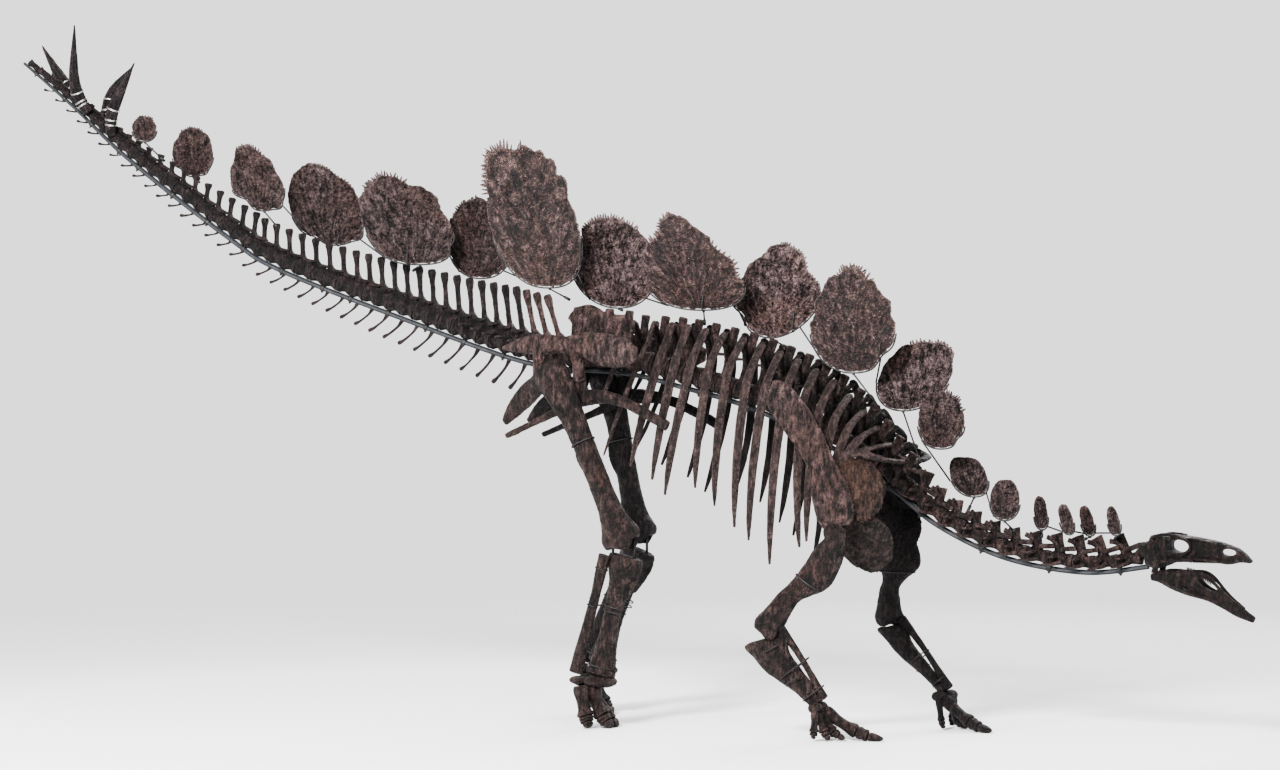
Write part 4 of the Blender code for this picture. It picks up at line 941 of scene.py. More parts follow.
@dataclass
class Trunk(Assembly):
    """The tall vertebrae of the back with their ribs."""

    spine_lean: float = 0.01
    head_drop: float = 0.104
    rib_tips: Table = (
        (0.118, 1.315), (0.132, 1.094), (0.258, 1.051), (0.365, 1.0), (0.432, 0.94), (0.572, 0.97),
        (0.664, 0.9), (0.75, 0.818), (0.811, 0.767), (0.901, 0.674), (1.028, 0.744), (1.058, 0.768),
        (1.105, 0.85), (1.145, 0.93), (1.17, 1.01), (1.19, 1.086), (1.262, 1.13))
    rib_sides: Table = ((0, 0.15), (2, 0.18), (4, 0.235), (6, 0.275))
    rib_rows: Table = (
        (0.08, 0.72, 0.11, 0.019, 0.0098), (0.18, 0.9, 0.24, 0.02, 0.009), (0.5, 1.0, 0.56, 0.0185, 0.0085),
        (0.8, 0.94, 0.83, 0.0135, 0.007))
    spine: Table = (
        (0.0, 0.019, 0.023), (0.22, 0.014, 0.017), (0.42, 0.013, 0.017), (0.66, 0.0085, 0.019), (0.88, 0.009, 0.02),
        (0.96, 0.0125, 0.021), (1.0, 0.011, 0.018))
    wing: Table = ((0.004, -0.112, 0.016, 0.016), (0.052, -0.076, 0.013, 0.01), (0.104, -0.034, 0.016, 0.009))
    strut: Table = ((0.004, -0.15, 0.014, 0.018), (0.03, -0.112, 0.01, 0.009))
    tip_share: float = 0.84
    knee_side: float = 0.115
    knee_drop: float = 0.036

    def build(self) -> None:
        """Make every vertebra and rib of the trunk."""
        stops = BACK.stretches()[4]
        for index, (start, end) in enumerate(zip(stops, stops[1:])):
            bone = Vertebra(start, end)
            self.mount.add("back_bone_%02d" % (index + 1), self.vertebra(bone), SPINE_BONE,
                           ["rib_cage_right", "rib_cage_left"], bone.relief())
            for side in Side:
                word, sign = side.value
                self.mount.add("rib_%s_%02d" % (word, index + 1), self.rib(bone, index, sign), side.pick(RIB_BONE),
                               ["rib_cage_" + word], RIB_RELIEF)

    def vertebra(self, bone: Vertebra) -> Shapes:
        """Shape one vertebra of the back.

        Args:
            bone: its stretch of the rod.

        Returns:
            Its overlapping shapes.
        """
        top, low = bone.top, bone.floor + 1.5 * bone.radius
        rows = [(-bone.quarter - self.spine_lean * share, low + (top - low) * share, across, fore)
                for share, across, fore in self.spine]
        shapes = [bone.spool(0.74), bone.rise(rows, 14, 18)]
        shapes += bone.joints(low + 0.42 * (top - low), 0.017, 0.0065)
        lean = -bone.quarter - self.spine_lean * 0.5
        for sign in BOTH:
            shapes += [bone.horn(sign, [(lean, out, top + step, wide, deep) for out, step, wide, deep in rows])
                       for rows in (self.wing, self.strut)]
        return shapes

    def rib(self, bone: Vertebra, index: int, sign: float) -> Shapes:
        """Shape one rib, forked where it meets its vertebra.

        Args:
            bone: the vertebra that carries it.
            index: its number, hindmost first.
            sign: sign of y.

        Returns:
            Its shapes.
        """
        tip_x, tip_z = self.rib_tips[index]
        back = -bone.quarter - self.spine_lean * 0.5
        knee = bone.at(back, sign * self.knee_side, bone.top - self.knee_drop)
        head = bone.at(back, sign * 0.022, bone.top - self.head_drop - 0.022)
        drop, sweep = knee.z - tip_z, knee.x - tip_x
        wide = between(self.rib_sides, index)
        thin = 0.55 if index < 2 else 1.0
        rows = [(*(knee + Vector((0.0, -sign * 0.012, 0.006))), 0.012 * thin, 0.008),
                (knee.x, knee.y, knee.z, 0.0175 * thin, 0.01)]
        rows += [(knee.x - sweep * back, sign * wide * out, knee.z - drop * down, a * thin, b)
                 for back, out, down, a, b in self.rib_rows]
        rows.append((tip_x, sign * wide * self.tip_share, tip_z, 0.0045 * thin, 0.0035))
        neck = [(*head, 0.011 * thin, 0.01), (*head.lerp(knee, 0.5), 0.0095 * thin, 0.0075),
                (*(knee + Vector((-sweep * 0.05, sign * 0.01, -0.03))), 0.011 * thin, 0.007)]
        return [loft(rows, 14, 48, AXIS_X), loft(neck, 12, 12, AXIS_X)]


@dataclass
class Neck(Assembly):
    """The bones of the neck with their short side processes."""

    waist: float = 0.66
    front_joint: Table = (
        (-0.1, 0.01, 0.0, 0.0, 0.011, 0.011), (0.22, 0.024, 0.006, 0.0, 0.0085, 0.0095),
        (0.64, 0.03, 0.014, 0.0, 0.006, 0.01))
    rear_joint: Table = (
        (-0.15, 0.008, 0.006, 0.0, 0.01, 0.011), (-0.4, 0.02, 0.0, 0.4, 0.0085, 0.01),
        (-0.66, 0.028, 0.0, 0.52, 0.0065, 0.011))
    wing: Table = (
        (0.0, 0.01, 0.004, 0.017, 0.011), (-0.006, 0.04, 0.0, 0.012, 0.007), (-0.012, 0.056, 0.002, 0.01, 0.005))
    rib: Table = (
        (0.05, 0.02, 0.5, 0.01, 0.009), (-0.35, 0.038, 1.0, 0.0065, 0.0065), (-0.75, 0.042, 1.1, 0.0035, 0.004))

    def build(self) -> None:
        """Make every vertebra of the neck."""
        stops = BACK.stretches()[5]
        for index, (start, end) in enumerate(zip(stops, stops[1:])):
            bone = Vertebra(start, end)
            self.mount.add("neck_bone_%02d" % (index + 1), self.vertebra(bone), SPINE_BONE, ["neck"], bone.relief())

    def vertebra(self, bone: Vertebra) -> Shapes:
        """Shape one neck vertebra.

        Args:
            bone: its stretch of the rod.

        Returns:
            Its overlapping shapes.
        """
        radius, quarter, length = bone.radius, bone.quarter, bone.length
        low = bone.floor + 1.5 * radius
        tall = bone.top - low
        rows = [
            (-quarter * 0.4, low, 0.017, 0.24 * length), (-quarter * 0.6, low + 0.3 * tall, 0.015, 0.22 * length),
            (-quarter, low + 0.7 * tall, 0.008, 0.24 * length), (-quarter - 0.01, bone.top, 0.0095, 0.29 * length)]
        shapes = [bone.spool(self.waist), bone.rise(rows, 14, 9)]
        arch, height = low + 0.3 * tall, bone.floor + radius * 1.3
        for sign in BOTH:
            for joint in (self.front_joint, self.rear_joint):
                shapes.append(bone.horn(sign, [
                    (share * length, out, arch + step + part * tall, wide, deep)
                    for share, out, step, part, wide, deep in joint], AXIS_Y))
            shapes.append(bone.horn(sign, [
                (step - quarter, out, height + rise, wide, deep) for step, out, rise, wide, deep in self.wing]))
            shapes.append(bone.horn(sign, [
                (share * length, out, height - drop * radius, wide, deep)
                for share, out, drop, wide, deep in self.rib], AXIS_Y))
        return shapes


@dataclass
class Sacrum(Assembly):
    """The fused bones of the hips."""

    crest: Table = (
        (-0.034, 1.59, 0.01, 0.088), (-0.01, 1.607, 0.01, 0.107), (0.045, 1.594, 0.01, 0.093),
        (0.11, 1.588, 0.009, 0.086), (0.178, 1.584, 0.009, 0.085))
    spine: Table = ((0.16, 0.013, 0.026), (0.225, 0.0125, 0.02), (0.258, 0.015, 0.018))
    bar: Table = ((0.0, 0.076, 0.024, 0.03), (0.11, 0.09, 0.012, 0.02), (0.218, 0.106, 0.018, 0.024))

    def build(self) -> None:
        """Make the fused vertebrae, their upright crest and the bars to the hip bones."""
        shapes = [loft([(x, 0.0, z, half, deep) for x, z, half, deep in self.crest], 16, 24, AXIS_Y, 0.75)]
        stops = BACK.stretches()[3]
        for start, end in zip(stops, stops[1:]):
            bone = Vertebra(start, end, -0.004)
            back = -bone.quarter
            spine = [(back, bone.floor + 1.4 * bone.radius, 0.026, 0.03)] + [(back, *row) for row in self.spine]
            shapes += [bone.spool(0.86), bone.rise(spine, 14, 9)]
            shapes += [bone.horn(sign, [(back, *row) for row in self.bar]) for sign in BOTH]
        self.mount.add("sacrum_bones", shapes, HIP_BONE, ["sacrum"], Relief(0.004, 4, 0.005))


@dataclass
class Hip(SideAssembly):
    """The three hip bones of one side."""

    blade: Table = (
        (-0.3, 0.19, 1.532, 0.012, 0.009), (-0.2, 0.212, 1.542, 0.02, 0.034), (-0.09, 0.232, 1.546, 0.024, 0.043),
        (0.005, 0.246, 1.542, 0.024, 0.034), (0.1, 0.263, 1.542, 0.026, 0.052), (0.205, 0.288, 1.522, 0.026, 0.068),
        (0.305, 0.319, 1.508, 0.022, 0.06), (0.376, 0.34, 1.504, 0.012, 0.026))
    front_leg: Table = (
        (0.06, 0.245, 1.53, 0.03, 0.034), (0.064, 0.235, 1.455, 0.026, 0.026), (0.066, 0.225, 1.395, 0.024, 0.028))
    rear_leg: Table = (
        (-0.11, 0.225, 1.53, 0.028, 0.034), (-0.122, 0.218, 1.46, 0.024, 0.026),
        (-0.124, 0.212, 1.42, 0.022, 0.028))
    pubis: Table = (
        (-0.3, 0.165, 1.17, 0.012, 0.012), (-0.06, 0.195, 1.268, 0.014, 0.017), (0.06, 0.208, 1.322, 0.02, 0.034),
        (0.18, 0.225, 1.331, 0.015, 0.028), (0.3, 0.24, 1.299, 0.013, 0.022), (0.472, 0.255, 1.214, 0.014, 0.022))
    pubis_socket: Table = ((0.064, 0.208, 1.322, 0.018, 0.03), (0.066, 0.22, 1.4, 0.022, 0.026))
    ischium: Table = (
        (-0.336, 0.11, 1.224, 0.009, 0.016), (-0.28, 0.13, 1.281, 0.01, 0.038), (-0.2, 0.16, 1.345, 0.012, 0.048),
        (-0.12, 0.2, 1.395, 0.018, 0.04))
    ischium_socket: Table = ((-0.13, 0.195, 1.385, 0.016, 0.032), (-0.123, 0.212, 1.44, 0.02, 0.028))

    def build(self) -> None:
        """Make the bones."""
        ilium = ((self.blade, 28), (self.front_leg, 8), (self.rear_leg, 8))
        for name, finish, strips in (
                ("ilium", HIP_BONE, ilium), ("pubis", self.finish, ((self.pubis, 28), (self.pubis_socket, 5))),
                ("ischium", self.finish, ((self.ischium, 16), (self.ischium_socket, 5)))):
            shapes = [loft(mirrored(rows, self.sign), 18, steps) for rows, steps in strips]
            self.put(name + "_bone_%s", shapes, finish, name, GIRDLE_RELIEF)


@dataclass
class LimbLine:
    """The straight line between two joints of one side, on which long bones are shaped."""

    start: Triple
    end: Triple
    sign: float

    def __post_init__(self) -> None:
        """Work out its direction and the two directions square to it."""
        self.top = Vector((self.start[0], self.sign * self.start[1], self.start[2]))
        self.low = Vector((self.end[0], self.sign * self.end[1], self.end[2]))
        self.line = (self.low - self.top).normalized()
        self.forward = (AXIS_X - self.line * self.line.x).normalized()
        self.length = (self.low - self.top).length

    def at(self, share: float, ahead: float = 0.0, out: float = 0.0) -> Vector:
        """Place on the bone: share of its length, step forward, step away from the body."""
        return self.top.lerp(self.low, share) + self.forward * ahead + AXIS_Y * (self.sign * out)

    def shaft(self, profile: Sequence[Row], sides: int = 22) -> Shape:
        """A long bone from rows of share, step forward, half across and half deep."""
        return skin([section(self.at(share, ahead), self.line, AXIS_Y, across, deep, sides)
                     for share, ahead, across, deep in spline(profile, 5 * (len(profile) - 1))])

    def knob(self, share: float, ahead: float, out: float, radii: Triple) -> Shape:
        """A rounded knob at a place on the bone."""
        return ball(self.at(share, ahead, out), radii)

    def ridge(self, rows: Sequence[Row]) -> Shape:
        """A raised ridge: rows of share, step forward, step out and two half widths."""
        return loft([(*self.at(share, ahead, out), wide, deep) for share, ahead, out, wide, deep in rows],
                    10, 3 * (len(rows) - 1))

    def band(self, share: float, ahead: float, across: float, deep: float, radius: float = 0.0026) -> Shape:
        """A hoop of wire round the bone."""
        corners = section(self.at(share, ahead), self.line, AXIS_Y, across + radius, deep + radius, 28)
        return tube(corners, radius, 6, True)


@dataclass
class Digits:
    """Fingers or toes: sideways place of root and tip, reach of root and tip, and half thickness.

    Parts give the word for a bone, the shares of its digit's path, the shares of its thickness there and how flat
    it is.
    """

    rows: Table
    bend: float = 1.8
    floor: float = 0.011
    parts: Tuple[Tuple[str, Row, Row, float], ...] = (
        ("long_bone", (0.0, 0.06, 0.22, 0.38, 0.5, 0.545), (0.8, 0.94, 0.74, 0.72, 0.98, 0.86), 1.0),
        ("joint_bone", (0.555, 0.6, 0.66, 0.71, 0.735), (0.82, 0.96, 0.8, 0.9, 0.78), 0.9),
        ("hoof", (0.745, 0.78, 0.86, 0.94, 0.985, 1.0), (0.7, 0.86, 0.8, 0.56, 0.3, 0.14), 0.66))

    def bones(self, middle: Vector, ahead: Vector, outward: Vector) -> List[Tuple[str, Shapes]]:
        """Shape every bone of every digit, which drops steeply and then runs out along the floor.

        Args:
            middle: the point that the digits spread from.
            ahead: direction that they point in.
            outward: direction away from the body.

        Returns:
            The word for each bone with its shapes.
        """
        out = []
        for number, (out_root, out_tip, reach_root, reach_tip, thick) in enumerate(self.rows):
            root = middle + outward * out_root + ahead * reach_root
            tip = middle + outward * out_tip + ahead * reach_tip
            tip.z = self.floor
            for word, shares, sizes, flat in self.parts:
                rows = []
                for share, size in zip(shares, sizes):
                    place = root.lerp(tip, share)
                    place.z = tip.z + (root.z - tip.z) * (1.0 - share) ** self.bend
                    rows.append((*place, size * thick, size * thick * flat))
                out.append(("%s_%d" % (word, number + 1), [loft(rows, 14, 3 * (len(rows) - 1), outward)]))
        return out


@dataclass
class HindLimb(SideAssembly):
    """Thigh, shin and foot of one side."""

    knee: Triple
    ankle: Triple
    hip: Triple = (-0.03, 0.25, 1.425)
    femur: Table = (
        (-0.078, -0.022, 0.026, 0.044), (-0.045, -0.024, 0.04, 0.074), (0.03, -0.018, 0.042, 0.078),
        (0.12, -0.01, 0.04, 0.068), (0.26, -0.002, 0.036, 0.053), (0.5, 0.0, 0.034, 0.047),
        (0.74, 0.0, 0.036, 0.049), (0.86, 0.0, 0.044, 0.062), (0.94, 0.0, 0.054, 0.086), (0.985, 0.0, 0.05, 0.078))
    condyle: Table = ((0.0, 0.0, 0.016, 0.03), (0.5, 0.0, 0.026, 0.064), (1.0, 0.0, 0.019, 0.05))
    tibia: Table = (
        (0.0, 0.0, 0.05, 0.07), (0.06, 0.0, 0.052, 0.076), (0.18, -0.002, 0.042, 0.054),
        (0.32, -0.005, 0.034, 0.042), (0.52, -0.007, 0.03, 0.037), (0.74, -0.006, 0.034, 0.041),
        (0.9, -0.003, 0.044, 0.055), (1.0, 0.0, 0.046, 0.06))
    fibula: Table = (
        (0.0, 0.0, 0.016, 0.028), (0.08, 0.0, 0.016, 0.026), (0.4, 0.002, 0.014, 0.021), (0.8, 0.0, 0.016, 0.027),
        (1.0, 0.0, 0.018, 0.031))
    shin_ends: Tuple[Tuple[Triple, Triple], ...] = (
        ((0.005, -0.008, -0.042), (0.022, -0.008, 0.014)), ((-0.07, 0.034, -0.036), (-0.076, 0.03, 0.02)))
    shin_ridge: Table = (
        (0.01, 0.05, 0.004, 0.016, 0.02), (0.12, 0.058, 0.004, 0.014, 0.022), (0.34, 0.034, 0.002, 0.01, 0.014))
    thigh_head: Table = (
        (0.004, 0.25, -0.03, 0.042, 0.044), (0.001, 0.215, -0.02, 0.042, 0.042), (0.0, 0.186, -0.014, 0.026, 0.026))
    thigh_ridges: Tuple[Table, ...] = (
        ((0.03, -0.04, 0.03, 0.016, 0.03), (0.16, -0.036, 0.026, 0.014, 0.026), (0.3, -0.02, 0.02, 0.01, 0.018)),
        ((0.38, -0.04, -0.014, 0.009, 0.01), (0.48, -0.05, -0.014, 0.011, 0.013),
         (0.58, -0.038, -0.014, 0.009, 0.01)))
    shin_bands: Table = ((0.43, 0.0, 0.034, 0.044), (0.47, 0.0, 0.034, 0.044), (0.93, -0.02, 0.048, 0.078))
    thin_bands: Table = ((0.43, 0.0, 0.014, 0.019), (0.12, 0.0, 0.016, 0.024))
    knee_pins: Table = ((-0.045, 0.012), (0.04, -0.01))
    pin_heights: Row = (-0.075, 0.0, 0.045)
    inner_ankle: Table = (
        (-0.036, -0.015, 0.04, 0.016), (-0.016, -0.014, 0.05, 0.024), (0.03, -0.014, 0.05, 0.024),
        (0.066, -0.014, 0.044, 0.021), (0.084, -0.014, 0.028, 0.012))
    outer_ankle: Table = (
        (-0.108, -0.01, 0.026, 0.011), (-0.092, -0.011, 0.036, 0.016), (-0.06, -0.014, 0.044, 0.021),
        (-0.042, -0.015, 0.034, 0.014))
    toes: Table = (
        (-0.04, -0.056, -0.006, 0.112, 0.036), (0.0, 0.0, 0.012, 0.11, 0.038), (0.04, 0.054, -0.014, 0.034, 0.036))

    def build(self) -> None:
        """Make the bones of the limb with their bands and pins."""
        knee, ankle = self.knee, self.ankle
        thigh = LimbLine(self.hip, knee, self.sign)
        shin, thin = [LimbLine(moved(knee, top), moved(ankle, low), self.sign) for top, low in self.shin_ends]
        self.put("thigh_bone_%s", self.thigh_shapes(thigh), self.finish, "femur", LIMB_RELIEF)
        self.put("shin_bone_%s", [shin.shaft(self.tibia), shin.ridge(self.shin_ridge)], self.finish, "shin",
                 LIMB_RELIEF)
        self.put("thin_shin_bone_%s", [thin.shaft(self.fibula, 16)], self.finish, "shin", THIN_RELIEF)
        steel = [thigh.band(0.4, 0.0, 0.034, 0.047, 0.0036)]
        steel += [line.band(*sizes) for line, bands in ((shin, self.shin_bands), (thin, self.thin_bands))
                  for sizes in bands]
        for ahead, out in self.knee_pins:
            pin = [Vector((knee[0] + ahead, self.sign * (knee[1] + out), knee[2] + step))
                   for step in self.pin_heights]
            steel.append(tube(pin, 0.0055))
        steel += [tube([shin.at(share, -0.04), thin.at(share, 0.0)], 0.003) for share in (0.43, 0.93)]
        self.put("leg_fixings_%s", steel, WIRE_BLACK, "shin")
        self.foot()

    def thigh_shapes(self, thigh: LimbLine) -> Shapes:
        """Shape the thigh bone.

        Args:
            thigh: line from hip to knee.

        Returns:
            Overlapping shapes.
        """
        hip = self.hip
        shapes = [thigh.shaft(self.femur)]
        shapes.append(loft([
            (hip[0] + x, self.sign * y, hip[2] + z, a, b) for x, y, z, a, b in self.thigh_head], 18, 8, AXIS_X))
        shapes += [thigh.ridge(rows) for rows in self.thigh_ridges]
        for out in (-0.03, 0.03):
            line = LimbLine(moved(self.knee, (-0.012, out, 0.075)), moved(self.knee, (-0.02, out, -0.012)),
                            self.sign)
            shapes.append(line.shaft(self.condyle, 16))
        return shapes

    def foot(self) -> None:
        """Make the ankle bones and the toes."""
        x, y, z = self.ankle[0], self.sign * self.ankle[1], self.ankle[2]
        for word, rows, steps in (("inner", self.inner_ankle, 14), ("outer", self.outer_ankle, 10)):
            shape = loft([(x + ahead, y, z + up, a, b) for ahead, up, a, b in rows], 18, steps)
            self.put("ankle_" + word + "_%s", [shape], self.finish, "foot", SMALL_RELIEF)
        middle = Vector((x - 0.034, y, z - 0.03))
        for name, shapes in Digits(self.toes).bones(middle, AXIS_X, AXIS_Y * self.sign):
            self.put("foot_%s_" + name, shapes, self.finish, "foot", SMALL_RELIEF, on_floor=True)


@dataclass
class ForeLimb(SideAssembly):
    """Upper arm, forearm and hand of one side."""

    elbow: Triple
    wrist: Triple
    heading: float
    crest: float
    wedge: float
    shoulder: Triple = (1.215, 0.3, 0.81)
    humerus: Table = (
        (-0.06, 0.008, 0.026, 0.022), (0.05, 0.022, 0.04, 0.04), (0.2, 0.029, 0.044, 0.063),
        (0.4, 0.034, 0.042, 0.067), (0.55, 0.01, 0.034, 0.049), (0.66, -0.01, 0.03, 0.042),
        (0.85, -0.012, 0.04, 0.052), (0.95, -0.014, 0.044, 0.058), (1.02, -0.016, 0.034, 0.042))
    ulna: Table = (
        (-0.045, -0.096, 0.014, 0.014), (0.0, -0.079, 0.022, 0.034), (0.13, -0.024, 0.03, 0.082),
        (0.35, -0.035, 0.028, 0.064), (0.73, -0.013, 0.02, 0.041), (1.0, -0.003, 0.022, 0.032))
    radius: Table = (
        (0.048, 0.058, 0.018, 0.02), (0.35, 0.056, 0.012, 0.014), (0.62, 0.049, 0.012, 0.013),
        (0.85, 0.038, 0.015, 0.016), (1.01, 0.03, 0.018, 0.02))
    arm_ridge: Table = (
        (0.1, 0.05, 0.01, 0.012, 0.024), (0.26, 0.068, 0.012, 0.012, 0.028), (0.42, 0.06, 0.012, 0.011, 0.022))
    hook: Table = ((0.0, -0.07, 0.0), (0.0, -0.04, 0.034), (0.02, 0.02, 0.036))
    fingers: Table = (
        (-0.046, -0.066, 0.0067, 0.045, 0.017), (-0.02, -0.03, 0.0193, 0.255, 0.03),
        (0.006, 0.004, 0.0106, 0.11, 0.021), (0.03, 0.038, 0.0075, 0.058, 0.022),
        (0.052, 0.058, 0.0036, -0.006, 0.02))

    def build(self) -> None:
        """Make the bones of the limb with their clamps."""
        upper = LimbLine(self.shoulder, self.elbow, self.sign)
        lower = LimbLine(self.elbow, self.wrist, self.sign)
        front = LimbLine(moved(self.elbow, (0.0, -0.008, 0.0)), self.wrist, self.sign)
        rows = [(share, ahead, across, deep * (self.crest if share < 0.5 else 1.0))
                for share, ahead, across, deep in self.humerus]
        shapes = [
            upper.shaft(rows), upper.knob(0.02, -0.01, 0.0, (0.044, 0.04, 0.036)), upper.ridge(self.arm_ridge),
            upper.knob(0.965, 0.014, 0.022, (0.034, 0.024, 0.032)),
            upper.knob(0.97, -0.03, -0.02, (0.034, 0.024, 0.032))]
        self.put("upper_arm_bone_%s", shapes, self.finish, "humerus", LIMB_RELIEF)
        wedge, narrow = self.wedge, 0.4 + 0.6 * self.wedge
        rows = [(share, ahead * wedge, across, deep * wedge) for share, ahead, across, deep in self.ulna]
        self.put("ulna_bone_%s", [lower.shaft(rows)], self.finish, "forearm", Relief(0.0045, 4))
        rows = [(share, ahead * narrow, across, deep) for share, ahead, across, deep in self.radius]
        self.put("radius_bone_%s", [front.shaft(rows, 16)], self.finish, "forearm", THIN_RELIEF)
        steel = [upper.band(0.47, 0.022, 0.038, 0.055 * self.crest, 0.0036),
                 lower.band(0.52, 0.004, 0.028, 0.074 * wedge), lower.band(0.88, 0.008, 0.026, 0.05 * wedge),
                 tube([upper.at(0.94, 0.0, -0.01), lower.at(0.08, 0.0, 0.01)], 0.006)]
        for share in (0.18, 0.62):
            hook = [lower.at(share + step, ahead * wedge, out) for step, ahead, out in self.hook]
            steel.append(tube(curve(hook, 10), 0.0024))
        self.put("arm_fixings_%s", steel, WIRE_BLACK, "forearm")
        self.hand()

    def hand(self) -> None:
        """Make the wrist bones and the fingers."""
        c, s = math.cos(self.heading), math.sin(self.heading)
        ahead, outward = Vector((c, -self.sign * s, 0.0)), Vector((s, self.sign * c, 0.0))
        middle = Vector((self.wrist[0], self.sign * self.wrist[1], self.wrist[2] - 0.018))
        for number, (low, high) in enumerate(((-0.064, -0.003), (0.001, 0.066))):
            rows = [(*(middle + outward * (low + (high - low) * share)), size, size * 0.78)
                    for share, size in ((0.0, 0.014), (0.2, 0.026), (0.75, 0.028), (1.0, 0.017))]
            self.put("wrist_%%s_%d" % (number + 1), [loft(rows, 16, 10, AXIS_X)], self.finish, "hand", SMALL_RELIEF)
        for name, shapes in Digits(self.fingers).bones(middle - AXIS_Z * 0.012, ahead, outward):
            self.put("hand_%s_" + name, shapes, self.finish, "hand", SMALL_RELIEF, on_floor=True)


@dataclass
class Shoulder(SideAssembly):
    """Shoulder blade, coracoid and breast bone of one side."""

    blade: Table = (
        (0.915, 0.268, 1.352, 0.009, 0.052), (0.96, 0.272, 1.33, 0.011, 0.066), (1.04, 0.284, 1.24, 0.012, 0.07),
        (1.105, 0.292, 1.15, 0.013, 0.062), (1.15, 0.296, 1.06, 0.014, 0.06), (1.185, 0.296, 0.96, 0.017, 0.08),
        (1.205, 0.292, 0.88, 0.022, 0.082), (1.215, 0.29, 0.828, 0.024, 0.06))
    ridge: Table = (
        (1.135, 0.31, 1.07, 0.006, 0.014), (1.18, 0.314, 0.985, 0.008, 0.022), (1.225, 0.31, 0.93, 0.008, 0.018))

    def build(self) -> None:
        """Make the three bones."""
        sign = self.sign
        shapes = [loft(mirrored(self.blade, sign), 22, 36, AXIS_Y, 0.82), loft(mirrored(self.ridge, sign), 12, 8)]
        self.put("shoulder_blade_%s", shapes, self.side.pick(HIP_BONE), "scapula", GIRDLE_RELIEF)
        disc = self.disc(0.1, 0.131, 0.1, 0.006, 0.02, lambda s, t, d: Vector((
            1.292 + s, sign * (0.262 - 0.3 * s) + d, 0.977 + t)))
        hole = loft([(1.268, sign * (0.269 + step), 0.925, 0.013, 0.01) for step in (-0.08, 0.08)], 12, 0, AXIS_X)
        self.put("coracoid_%s", [disc], self.side.pick(CORACOID_BONE), "scapula", Relief(0.0042, 3, 0.0055, 0.05),
                 [hole])
        disc = self.disc(0.114, 0.135, 0.12, 0.006, 0.016, lambda s, t, d: Vector((
            1.278 + s + 0.1 * t, sign * (0.183 - 0.3 * s + 0.72 * t) + d, 0.777 + t)))
        self.put("breast_bone_%s", [disc], self.finish, "sternal_plate", Relief(0.0042, 3, 0.005, 0.045))

    @staticmethod
    def disc(wide: float, tall: float, lean: float, rim: float, body: float,
             place: Callable[[float, float, float], Vector]) -> Shape:
        """Shape a rounded flat bone.

        Args:
            wide: half its width.
            tall: half its height.
            lean: how far its top leans.
            rim: half thickness at its edge.
            body: half thickness of its middle.
            place: where a point of it lies, from across, up and through.

        Returns:
            A closed shape.
        """
        rings = []
        for through, share in (
                (-1.0, 0.25), (-0.9, 0.6), (-0.62, 0.86), (0.0, 1.0), (0.62, 0.86), (0.9, 0.6), (1.0, 0.25)):
            thick = rim * through / 0.62 if abs(through) < 0.7 else body * through
            ring = []
            for k in range(40):
                angle = TURN * k / 40
                ragged = 1.0 + 0.035 * math.sin(3.0 * angle + 0.7) + 0.02 * math.sin(7.0 * angle)
                t = tall * share * ragged * math.sin(angle)
                ring.append(place(wide * share * ragged * math.cos(angle) - lean * t, t, thick))
            rings.append(ring)
        return skin(rings)


